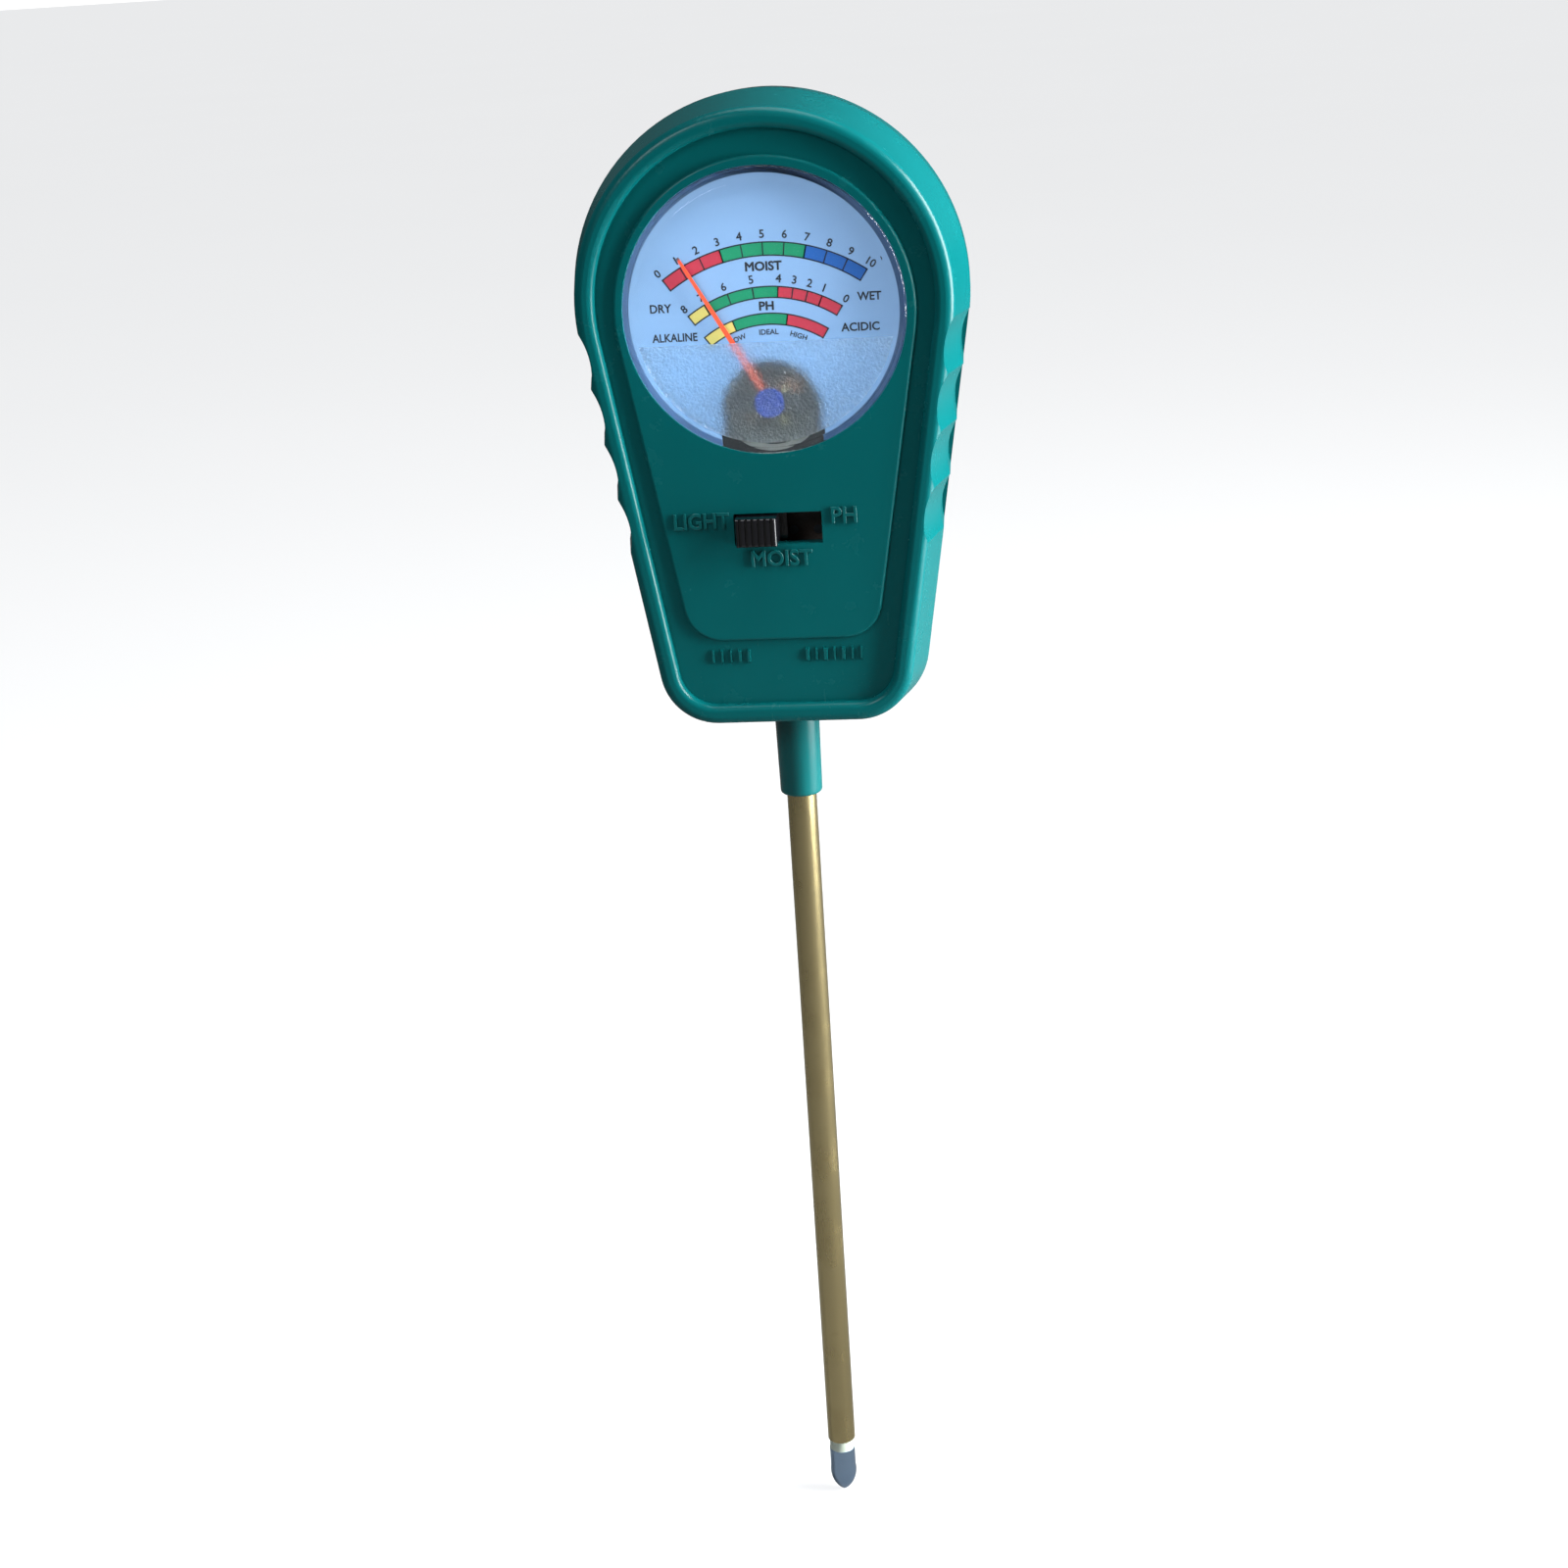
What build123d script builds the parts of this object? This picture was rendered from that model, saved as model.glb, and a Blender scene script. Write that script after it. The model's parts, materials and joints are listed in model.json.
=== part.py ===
from build123d import *
import os
from math import acos, atan2, cos, hypot, radians, sin, sqrt, tan

# Soil meter with one probe, millimetres.  The probe's axis is the Z axis, and the
# origin is on it at the collar's mouth, where the bare tube begins.  The dial looks
# to -Y, +X is to the right of someone reading it, and the shells part on y = 0.
# Depths into the head are y values: more negative is nearer the reader.

# ---- driving dimensions -------------------------------------------------------
# head: a circle above, two straight sides, and a level foot with round corners
head_radius = 35.2
head_height = 112.8
foot_width = 47.0
foot_corner = 12.5
collar_length = 15.7
front_depth = 14.0
rear_depth = 14.0
wall = 2.4
face_wall = 1.8
draft = 2.0
front_draft = 10.0
rim_round = 1.6
rim_width = 5.8
rim_inner_round = 1.2
field_recess = 1.8
rear_round = 7.0
rear_wall = 2.0
lip_height = 1.2
lip_thickness = 1.1
lip_gap = 0.05

# raised panel that carries the lens and the switch
panel_rise = 0.8
panel_round = 0.55
panel_margin = 1.75
panel_bottom = 33.4
panel_foot_width = 33.8
panel_corner = 7.0

# hand grips: scoops down both sides
scoop_count = 4
scoop_pitch = 10.0
scoop_depth = 1.0
scoop_top = 89.5
scoop_back = 6.0

# lens and dial
lens_radius = 24.6
lens_drop = 36.5
lens_bevel = 2.35
lens_bevel_depth = 1.2
lens_proud = 1.4
lens_thickness = 1.5
lens_skirt = 1.3
lens_flange = 1.4
lens_flange_thickness = 1.0
lens_gap = 0.1
lens_edge_round = 0.3
dial_thickness = 0.8
dial_trim = 0.2
dial_notch_radius = 8.7
dial_notch_below_pivot = 1.6
dial_peg_radius = 0.8
dial_peg_inset = 0.2
dial_peg_angle = 20.0

# movement: its axis runs along Y, below the lens centre
pivot_to_skirt = 7.5
pointer_to_skirt = 2.54
pointer_stop_angle = 43.0
pointer_root_width = 1.1
pointer_tip_width = 0.5
pointer_thickness = 0.2
pointer_rest_angle = 30.0
yoke_inner = 6.5
yoke_outer = 8.5
yoke_length = 8.4
core_radius = 3.8
core_length = 7.0
holder_width = 2.6
holder_depth = 3.0
former_width = 8.6
former_wall = 0.4
former_height = 2.6
former_end_gap = 0.3
flange_thickness = 0.3
winding_thickness = 0.9
axle_radius = 0.4
axle_foot_radius = 0.9
axle_foot_thickness = 0.3
axle_gap = 0.06
bearing_shank = 1.0
bearing_head = 2.6
bearing_head_thickness = 0.4
rear_bearing_head = 2.0
rear_bearing_head_thickness = 0.6
bearing_depth = 0.7
strap_thickness = 0.6
strap_width = 3.0
strap_span = 15.2
pad_thickness = 0.4
front_strap_to_lens = 0.6
rear_strap_height = 3.4
hub_radius = 1.6
hub_thickness = 0.5
hub_to_dial = 0.4
tail_length = 5.2
arm_length = 4.2
arm_width = 0.7
side_weight_radius = 0.6
side_weight_length = 1.2
tail_weight_radius = 1.0
tail_weight_length = 1.9
weight_end_gap = 0.2
spring_inner = 0.8
spring_pitch = 0.5
spring_half_turns = 8
spring_strip = 0.12
spring_height = 0.3
adjuster_radius = 2.2
adjuster_thickness = 0.25
adjuster_reach = 5.4
adjuster_width = 1.2

# carrier that clamps the lens and dial and holds the movement
carrier_plate = 1.6
carrier_hole = 8.0
cup_wall = 1.3
arm_thickness = 1.6
arm_height = 7.0
arm_rise = 3.0
web_width = 2.0
ear_x = 26.8
ear_raise = 1.9
ear_round = 2.9
carrier_boss = 2.4
meter_pin_x = 16.0
meter_pin_drop = 1.6
meter_pin_radius = 0.5
meter_pin_stick_out = 1.6

# slide switch
slot_width = 15.7
slot_height = 5.7
slot_z = 53.9
slot_x = 0.15
knob_width = 7.3
knob_clearance = 0.3
knob_end_gap = 0.6
knob_proud = 3.4
knob_rib_count = 6
knob_rib_depth = 0.55
can_length = 20.6
can_height = 8.6
can_depth = 5.8
can_sheet = 0.5
can_window_gap = 0.25
can_leg_width = 2.0
carriage_overhang = 1.25
carriage_thickness = 1.7
carriage_gap = 0.3
wiper_length = 6.0
wiper_width = 2.2
wiper_height = 1.2
wiper_strip = 0.25
base_thickness = 1.6
base_gap = 0.02
pin_columns = 4
pin_pitch = 4.4
pin_row_offset = 1.9
pin_radius = 0.35
pin_gap = 0.05
pad_radius = 0.8
pad_rise = 0.2
pin_past_board = 0.4

# circuit board
board_width = 38.0
board_top = 63.5
board_bottom = 40.0
board_front = -2.6
board_thickness = 1.6
board_screw_x = 15.5
board_screw_z = 43.5
resistor_radius = 1.1
resistor_length = 6.4
resistor_lead = 0.25
resistor_lead_span = 10.0
resistor_rows = (43.6, 47.2, 60.4)

# light cell under a window in the top of the rear shell
window_width = 12.0
window_depth = 4.8
window_front = 1.2
window_gap = 0.05
window_inside = 0.8
cell_trim = 0.3
cell_thickness = 0.8

# probe
tube_radius = 2.8
tube_wall = 0.8
tube_length = 142.9
neck_step = 0.3
neck_past_tag = 2.3
fit_gap = 0.02
rod_radius = 1.1
rod_past_tag = 3.6
sleeve_past_neck = 2.0
ring_length = 2.4
ring_step = 0.3
tip_step = 0.2
tip_straight = 4.4
tip_nose = 6.0
tip_point = 0.12
tip_socket = 4.0
collar_wall = 1.35
collar_taper = 0.2
collar_edge_round = 0.6
collar_flange_radius = 6.6
collar_flange_thickness = 2.0
collar_stub = 2.6
collar_rib = 1.5
collar_gap = 0.05
tag_thickness = 0.8
tag_ring = 1.2
tag_reach = 8.5
tag_width = 2.4
rod_tag_past_sleeve = 2.6
lead_radius = 0.45
meter_land_drop = 4.5
cell_land_drop = 7.3
probe_land_rise = 1.8

# screws and their bosses
case_screw_radius = 1.1
case_screw_length = 11.5
case_head_radius = 2.1
case_head_height = 1.5
case_boss = 2.8
case_boss_top_angle = 45.0
case_boss_inset = 5.0
case_boss_foot_inset_x = 8.0
case_boss_foot_inset_z = 9.3
rear_boss = 3.6
rear_seat = 5.6
counterbore_gap = 0.4
small_screw_radius = 0.9
small_head_radius = 1.8
small_head_height = 1.1
small_screw_length = 5.0
screw_gap = 0.15
boss_end_gap = 0.3
drive_width = 0.7
drive_depth = 0.6

# ---- places worked out from them ---------------------------------------------
head_bottom = collar_length
head_top = head_bottom + head_height
head_centre = head_top - head_radius
field_y = -front_depth + field_recess
panel_y = field_y - panel_rise
inside_y = field_y + face_wall
lens_z = head_top - lens_drop
lens_front = panel_y - lens_proud
lens_inside = lens_front + lens_thickness
dial_front = inside_y + lens_flange_thickness
dial_back = dial_front + dial_thickness
carrier_back = dial_back + carrier_plate
flange_radius = lens_radius + lens_flange
dial_radius = flange_radius - dial_trim
skirt_bore = lens_radius - lens_skirt
pivot_drop = skirt_bore - pivot_to_skirt
pivot_z = lens_z - pivot_drop
yoke_front = carrier_back
yoke_back = yoke_front + yoke_length
core_mid = (yoke_front + yoke_back) / 2
former_depth = core_length + 2 * former_end_gap
coil_front = core_mid - former_depth / 2 - former_wall - winding_thickness
coil_back = core_mid + former_depth / 2 + former_wall + winding_thickness
front_strap_y = lens_inside + front_strap_to_lens
rear_strap_y = yoke_back + rear_strap_height
stop = radians(pointer_stop_angle)
tip_reach = skirt_bore - pointer_to_skirt
pointer_length = pivot_drop * cos(stop) + sqrt(tip_reach ** 2 - (pivot_drop * sin(stop)) ** 2)
hub_back = dial_front - hub_to_dial
hub_front = hub_back - hub_thickness
ear_y = carrier_back + arm_rise
ear_z = pivot_z + ear_raise
board_back = board_front + board_thickness
can_front = inside_y
can_back = can_front + can_depth
base_front = can_back - base_thickness
carriage_front = can_front + can_sheet + carriage_gap
carriage_back = carriage_front + carriage_thickness
knob_height = slot_height - 2 * knob_clearance
knob_left = slot_x - slot_width / 2 + knob_end_gap
knob_mid = knob_left + knob_width / 2
knob_travel = slot_width - knob_width - 2 * knob_end_gap
ring_end = -tube_length - ring_length
tip_end = ring_end - tip_straight - tip_nose
neck_radius = tube_radius - neck_step
tube_bore = tube_radius - tube_wall
collar_radius = tube_radius + collar_wall
flange_low = head_bottom + wall
flange_high = flange_low + collar_flange_thickness
stub_top = flange_high + collar_stub
neck_top = stub_top + tag_thickness + neck_past_tag
sleeve_top = neck_top + sleeve_past_neck
rod_tag_z = sleeve_top + rod_tag_past_sleeve
rod_top = rod_tag_z + tag_thickness + rod_past_tag
window_low = head_top - wall - window_inside


# ---- small helpers ------------------------------------------------------------
def block(x0, x1, y0, y1, z0, z1):
    """A box given by its limits."""
    size = Box(x1 - x0, y1 - y0, z1 - z0)
    return Pos((x0 + x1) / 2, (y0 + y1) / 2, (z0 + z1) / 2) * size


def bar_y(radius, y0, y1, x=0.0, z=0.0):
    """A round bar along Y between two depths."""
    return Pos(x, (y0 + y1) / 2, z) * Rot(90, 0, 0) * Cylinder(radius, y1 - y0)


def bar_z(radius, z0, z1, x=0.0, y=0.0):
    """A round bar along Z between two heights."""
    return Pos(x, y, (z0 + z1) / 2) * Cylinder(radius, z1 - z0)


def ring_y(outer, inner, y0, y1, x=0.0, z=0.0):
    """A flat ring whose axis runs along Y."""
    return bar_y(outer, y0, y1, x, z) - bar_y(inner, y0 - 1, y1 + 1, x, z)


def ring_z(outer, inner, z0, z1):
    """A ring about the probe's axis."""
    return bar_z(outer, z0, z1) - bar_z(inner, z0 - 1, z1 + 1)


def pear(radius, centre_z, bottom_z, foot_half, corner, inset=0.0):
    """The head's outline: a circle, two tangent sides and a level foot, moved in by inset."""
    reach = hypot(foot_half, bottom_z - centre_z)
    lean = atan2(bottom_z - centre_z, foot_half) + acos(radius / reach)
    r = radius - inset
    foot_z = bottom_z + inset
    foot_x = (r - sin(lean) * (foot_z - centre_z)) / cos(lean)
    side_x = r * cos(lean)
    side_z = centre_z + r * sin(lean)
    crown = ThreePointArc((side_x, side_z), (0, centre_z + r), (-side_x, side_z))
    left = Line((-side_x, side_z), (-foot_x, foot_z))
    foot = Line((-foot_x, foot_z), (foot_x, foot_z))
    right = Line((foot_x, foot_z), (side_x, side_z))
    face = make_face(Curve() + [crown, left, foot, right])
    return fillet(face.vertices().sort_by(Axis.Y)[:2], max(corner - inset, 0.5))


def head_outline(inset=0.0):
    """The case's outline at the parting, moved in by inset."""
    return pear(head_radius, head_centre, head_bottom, foot_width / 2, foot_corner, inset)


def slab(outline, y_start, amount, taper=0.0):
    """An outline drawn in X and Z, extruded towards the reader, or away if amount is negative."""
    plane = Plane(origin=(0, y_start, 0), x_dir=(1, 0, 0), z_dir=(0, -1, 0))
    return extrude(plane * outline, amount=amount, taper=taper)


def spin_y(points, z):
    """A profile of (radius, depth) points turned about an axis along Y at height z."""
    profile = make_face(Polyline(*points, close=True))
    return Pos(0, 0, z) * revolve(profile, Axis.Y)


def side_lean():
    """The angle of the sides' outward normal, below level."""
    reach = hypot(foot_width / 2, head_bottom - head_centre)
    return atan2(head_bottom - head_centre, foot_width / 2) + acos(head_radius / reach)


def scoops(y0, y1, taper):
    """Round scoops side by side down both flanks, which lean in towards the front by taper."""
    radius = (scoop_pitch ** 2 / 4 + scoop_depth ** 2) / (2 * scoop_depth)
    lean = side_lean()
    bars = []
    for index in range(scoop_count):
        z = scoop_top - scoop_pitch / 2 - index * scoop_pitch * cos(lean)
        x = (head_radius - sin(lean) * (z - head_centre)) / cos(lean)
        away = radius - scoop_depth
        for side in (-1, 1):
            centre = (side * (x + away * cos(lean)), 0, z + away * sin(lean))
            slope = tan(radians(taper))
            axis = Plane(origin=centre, z_dir=(side * slope * cos(lean), 1, slope * sin(lean)))
            bar = Cylinder(radius * cos(radians(taper)), y1 - y0, align=(Align.CENTER, Align.CENTER, Align.MIN))
            bars.append(axis * Pos(0, 0, y0) * bar)
    return bars


def case_boss_places():
    """The four case screws, as (x, z)."""
    turn = radians(case_boss_top_angle)
    reach = head_radius - case_boss_inset
    top_x = reach * cos(turn)
    top_z = head_centre + reach * sin(turn)
    return [(side * top_x, top_z) for side in (-1, 1)] + [
        (side * (foot_width / 2 - case_boss_foot_inset_x), head_bottom + case_boss_foot_inset_z)
        for side in (-1, 1)]


def screw(radius, length, head_radius, head_height, x, y_seat, z):
    """A pan-head screw driven towards the reader, its head seated at y_seat, with a cross."""
    head = bar_y(head_radius, y_seat, y_seat + head_height, x, z)
    head = fillet(head.faces().sort_by(Axis.Y)[-1].edges(), head_height * 0.45)
    shank = bar_y(radius, y_seat - length, y_seat, x, z)
    shank = chamfer(shank.faces().sort_by(Axis.Y)[0].edges(), radius * 0.5)
    top = y_seat + head_height
    arm = head_radius * 0.62
    cross = block(x - arm, x + arm, top - drive_depth, top + 1, z - drive_width / 2, z + drive_width / 2)
    cross += block(x - drive_width / 2, x + drive_width / 2, top - drive_depth, top + 1, z - arm, z + arm)
    return head + shank - cross


def spiral(y0, y1):
    """A flat hair spring of half-circle turns about Y, its outer end on the +X side."""
    outer_edges = []
    inner_edges = []
    half = spring_strip / 2
    for turn in range(spring_half_turns):
        radius = spring_inner + turn * spring_pitch / 2
        side = 1 if turn % 2 == 0 else -1
        centre = -side * spring_pitch / 4
        for edges, r in ((outer_edges, radius + half), (inner_edges, radius - half)):
            edges.append(ThreePointArc((centre + side * r, 0), (centre, side * r), (centre - side * r, 0)))
    start = Line(inner_edges[0] @ 0, outer_edges[0] @ 0)
    end = Line(inner_edges[-1] @ 1, outer_edges[-1] @ 1)
    strip = make_face(Curve() + [start, end] + outer_edges + inner_edges)
    return Pos(0, 0, pivot_z) * slab(strip, y1, y1 - y0)


def spring_end():
    """How far from the axis the hair spring's outer end stands."""
    last = spring_inner + (spring_half_turns - 1) * spring_pitch / 2
    return last + spring_pitch / 4 + spring_strip / 2


def at_rest(shape):
    """Turns a piece of the moving element from mid scale to where the pointer rests."""
    turn = Rot(0, -pointer_rest_angle, 0)
    return Pos(0, 0, pivot_z) * turn * Pos(0, 0, -pivot_z) * shape


def lead(points):
    """A wire along straight runs joined by arcs as large as the runs allow."""
    radii = []
    for before, here, after in zip(points, points[1:], points[2:]):
        a = Vector(*here) - Vector(*before)
        b = Vector(*after) - Vector(*here)
        turn = radians(a.get_angle(b))
        radii.append(0.45 * min(a.length, b.length) / tan(turn / 2))
    path = FilletPolyline(*points, radius=radii)
    section = Plane(origin=path @ 0, z_dir=path % 0) * Circle(lead_radius)
    return sweep(section, path=path)


# ---- case -----------------------------------------------------------------------
def grip_ready(shell, y0, y1, taper):
    """Cuts the grip scoops out of a shell whose flanks lean in by taper."""
    for bar in scoops(y0, y1, taper):
        shell -= bar
    return shell


def collar_saddle(y0, y1):
    """A cross rib above the collar's flange, hollowed round its stub."""
    rib = block(-collar_flange_radius - 3, collar_flange_radius + 3, y0, y1,
                flange_high, flange_high + collar_rib)
    return rib - bar_z(collar_radius + collar_gap, flange_high - 1, flange_high + collar_rib + 1)


def front_shell():
    body = slab(head_outline(), 0, front_depth, front_draft)
    body = fillet(body.faces().sort_by(Axis.Y)[0].edges(), rim_round)
    body -= slab(head_outline(rim_width), field_y, field_recess + 1)
    crown = body.faces().filter_by(Plane.XZ).sort_by(Axis.Y)[0]
    body = fillet(crown.inner_wires()[0].edges(), rim_inner_round)
    panel = pear(lens_radius + panel_margin, lens_z, panel_bottom, panel_foot_width / 2, panel_corner)
    raised = slab(panel, field_y, panel_rise)
    body += fillet(raised.faces().sort_by(Axis.Y)[0].edges(), panel_round)
    body -= slab(head_outline(wall), 0, -inside_y, front_draft)
    rebate = slab(head_outline(wall - lip_thickness - lip_gap), 0, lip_height + lip_gap)
    body -= rebate
    body -= bar_y(lens_radius + lens_gap, -front_depth - 1, 0, 0, lens_z)
    slot = block(slot_x - slot_width / 2, slot_x + slot_width / 2, -front_depth - 1, 0,
                 slot_z - slot_height / 2, slot_z + slot_height / 2)
    body -= slot
    for x, z in case_boss_places():
        body += bar_y(case_boss, inside_y, -boss_end_gap, x, z)
        body -= bar_y(case_screw_radius + fit_gap, inside_y + 1, 0, x, z)
    for side in (-1, 1):
        body += bar_y(carrier_boss, inside_y, ear_y, side * ear_x, ear_z)
        body -= bar_y(small_screw_radius + fit_gap, inside_y, ear_y + 1, side * ear_x, ear_z)
        body += bar_y(carrier_boss, inside_y, board_front, side * board_screw_x, board_screw_z)
        body -= bar_y(small_screw_radius + fit_gap, board_front - small_screw_length, board_front + 1,
                      side * board_screw_x, board_screw_z)
    body += collar_saddle(inside_y, 0)
    body -= rebate - slab(head_outline(wall), 1, lip_height + 2)
    body -= bar_z(collar_radius + collar_gap, head_bottom - 1, flange_low)
    body -= bar_z(collar_flange_radius + collar_gap, flange_low, flange_high)
    return grip_ready(body, -front_depth - 3, 1, front_draft)


def rear_outer():
    """The rear shell's outside as a solid."""
    body = slab(head_outline(), 0, -rear_depth, draft)
    return fillet(body.faces().sort_by(Axis.Y)[-1].edges(), rear_round)


def rear_shell():
    outside = rear_outer()
    hollow = slab(head_outline(wall), 0, -(rear_depth - rear_wall))
    hollow = fillet(hollow.faces().sort_by(Axis.Y)[-1].edges(), rear_round - rear_wall)
    body = outside - hollow
    lip = slab(head_outline(wall - lip_thickness), 0, lip_height)
    body += lip - slab(head_outline(wall), 1, lip_height + 2)
    for x, z in case_boss_places():
        body += bar_y(rear_boss, 0, rear_depth, x, z) & outside
    for x, z in case_boss_places():
        body -= bar_y(case_head_radius + counterbore_gap, rear_seat, rear_depth + 1, x, z)
        body -= bar_y(case_screw_radius + screw_gap, -1, rear_depth, x, z)
    body += collar_saddle(0, rear_depth - rear_wall) & outside
    body -= bar_z(collar_radius + collar_gap, head_bottom - 1, flange_high + collar_rib)
    body -= bar_z(collar_flange_radius + collar_gap, flange_low, flange_high)
    body -= window_block(0)
    return grip_ready(body, -lip_height - 1, scoop_back, 0)


def window_block(gap):
    """The light window's block, smaller than its hole by gap all round."""
    return block(-window_width / 2 + gap, window_width / 2 - gap, window_front + gap,
                 window_front + window_depth - gap, window_low, head_top + 1)


def light_window():
    return window_block(window_gap) & rear_outer()


def light_cell():
    return block(-window_width / 2 + cell_trim, window_width / 2 - cell_trim,
                 window_front + cell_trim, window_front + window_depth - cell_trim,
                 window_low - cell_thickness, window_low)


def case_screws():
    return [screw(case_screw_radius, case_screw_length, case_head_radius, case_head_height, x, rear_seat, z)
            for x, z in case_boss_places()]


# ---- lens, dial and carrier -----------------------------------------------------
def lens():
    body = spin_y([(0, lens_front), (lens_radius - lens_bevel, lens_front),
                   (lens_radius, lens_front + lens_bevel_depth), (lens_radius, inside_y),
                   (flange_radius, inside_y), (flange_radius, dial_front), (skirt_bore, dial_front),
                   (skirt_bore, lens_inside), (0, lens_inside)], lens_z)
    rims = body.edges().filter_by(GeomType.CIRCLE)
    soft = [edge for edge in rims if edge.center().Y < lens_front + lens_bevel_depth + 0.01]
    return fillet(soft, lens_edge_round)


def dial_pegs():
    """Where the carrier's two half-round keys are centred, as (x, z)."""
    reach = dial_radius - dial_peg_inset
    turn = radians(dial_peg_angle)
    return [(side * reach * cos(turn), lens_z - reach * sin(turn)) for side in (-1, 1)]


def dial_plate():
    body = bar_y(dial_radius, dial_front, dial_back, 0, lens_z)
    notch_z = pivot_z - dial_notch_below_pivot
    body -= bar_y(dial_notch_radius, dial_front - 1, dial_back + 1, 0, notch_z)
    body -= block(-dial_notch_radius, dial_notch_radius, dial_front - 1, dial_back + 1,
                  lens_z - dial_radius - 1, notch_z)
    for x, z in dial_pegs():
        body -= bar_y(dial_peg_radius + fit_gap, dial_front - 1, dial_back + 1, x, z)
    return body


def carrier():
    body = bar_y(dial_radius, dial_back, carrier_back, 0, lens_z)
    body += bar_y(yoke_outer + cup_wall, carrier_back - 0.5, yoke_back, 0, pivot_z)
    for side in (-1, 1):
        inner = side * (yoke_outer + cup_wall / 2)
        ear = side * ear_x
        low, high = min(inner, ear), max(inner, ear)
        body += block(low, high, ear_y, ear_y + arm_thickness, pivot_z - arm_height / 2,
                      pivot_z + arm_height / 2)
        body += block(low, high, carrier_back, ear_y, pivot_z - web_width / 2,
                      pivot_z + web_width / 2) & bar_y(dial_radius, carrier_back, ear_y, 0, lens_z)
        body += bar_y(ear_round, ear_y, ear_y + arm_thickness, ear, ear_z)
    body -= bar_y(yoke_outer, carrier_back, yoke_back + 1, 0, pivot_z)
    body -= bar_y(carrier_hole, dial_back - 1, carrier_back + 1, 0, pivot_z)
    for side in (-1, 1):
        body -= bar_y(small_screw_radius + screw_gap, ear_y - 1, ear_y + 5, side * ear_x, ear_z)
        body -= bar_y(meter_pin_radius + fit_gap, ear_y - 1, ear_y + arm_thickness + 1,
                      side * meter_pin_x, pivot_z - meter_pin_drop)
    for x, z in dial_pegs():
        body += bar_y(dial_peg_radius, dial_front, dial_back, x, z) & bar_y(
            dial_radius, dial_front, dial_back, 0, lens_z)
    return body


def meter_terminals():
    ends = (ear_y - meter_pin_stick_out, ear_y + arm_thickness + meter_pin_stick_out)
    return [bar_y(meter_pin_radius, *ends, side * meter_pin_x, pivot_z - meter_pin_drop) for side in (-1, 1)]


def carrier_screws():
    return [screw(small_screw_radius, small_screw_length, small_head_radius, small_head_height,
                  side * ear_x, ear_y + arm_thickness, ear_z) for side in (-1, 1)]


# ---- movement --------------------------------------------------------------------
def yoke_ring():
    return ring_y(yoke_outer, yoke_inner, yoke_front, yoke_back, 0, pivot_z)


def holder_block(width, depth):
    return block(-width / 2, width / 2, core_mid - depth / 2, core_mid + depth / 2,
                 pivot_z - yoke_outer, pivot_z + yoke_outer)


def magnet_core():
    body = bar_y(core_radius, core_mid - core_length / 2, core_mid + core_length / 2, 0, pivot_z)
    return body - holder_block(holder_width, holder_depth)


def core_holder():
    return holder_block(holder_width, holder_depth) & bar_y(yoke_inner, yoke_front, yoke_back, 0, pivot_z)


def coil_loop(grow, wall_out, height):
    """A rectangular loop round the core: grow clear of the former's opening, wall_out thick."""
    width = former_width / 2 + grow
    depth = former_depth / 2 + grow
    outside = block(-width - wall_out, width + wall_out, core_mid - depth - wall_out,
                    core_mid + depth + wall_out, pivot_z - height / 2, pivot_z + height / 2)
    return outside - block(-width, width, core_mid - depth, core_mid + depth,
                           pivot_z - height, pivot_z + height)


def coil_former():
    body = coil_loop(0, former_wall, former_height)
    rail = coil_loop(former_wall, winding_thickness + 0.1, flange_thickness)
    for side in (-1, 1):
        body += Pos(0, 0, side * (former_height - flange_thickness) / 2) * rail
    return at_rest(body)


def coil_winding():
    return at_rest(coil_loop(former_wall, winding_thickness, former_height - 2 * flange_thickness))


def coil_pivots():
    tip_in = front_strap_y + strap_thickness - bearing_depth / 2
    front = bar_y(axle_radius, tip_in, coil_front - axle_foot_thickness, 0, pivot_z)
    front += bar_y(axle_foot_radius, coil_front - axle_foot_thickness, coil_front, 0, pivot_z)
    back_tip = rear_strap_y + bearing_depth / 4
    rear = bar_y(axle_radius, coil_back + axle_foot_thickness, back_tip, 0, pivot_z)
    rear += bar_y(axle_foot_radius, coil_back, coil_back + axle_foot_thickness, 0, pivot_z)
    return [front, rear]


def pointer_hub():
    body = bar_y(hub_radius, hub_front, hub_back, 0, pivot_z)
    body += block(-arm_width / 2, arm_width / 2, hub_front, hub_back, pivot_z - tail_length, pivot_z)
    body += block(-arm_length, arm_length, hub_front, hub_back, pivot_z - arm_width / 2,
                  pivot_z + arm_width / 2)
    return at_rest(body - bar_y(axle_radius + fit_gap, hub_front - 1, hub_back + 1, 0, pivot_z))


def balance_weight(radius, length, reach, turn):
    """A small sleeve on one arm of the hub, its outer end short of the arm's end."""
    around = hypot(arm_width / 2, hub_thickness / 2) + fit_gap
    sleeve = Cylinder(radius, length) - Cylinder(around, length + 1)
    out = reach - weight_end_gap - length / 2
    return at_rest(Pos(0, (hub_front + hub_back) / 2, pivot_z) * Rot(0, turn, 0) * Pos(0, 0, out) * sleeve)


def balance_weights():
    sides = [balance_weight(side_weight_radius, side_weight_length, arm_length, turn) for turn in (90, -90)]
    return [balance_weight(tail_weight_radius, tail_weight_length, tail_length, 180)] + sides


def pointer():
    root, tip = pointer_root_width / 2, pointer_tip_width / 2
    blade = make_face(Polyline((-root, 0), (root, 0), (tip, pointer_length), (-tip, pointer_length), close=True))
    eye = Circle(hub_radius - 0.2)
    flat = Pos(0, pivot_z) * (blade + eye - Circle(axle_radius + fit_gap))
    return at_rest(slab(flat, hub_front, pointer_thickness))


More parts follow.
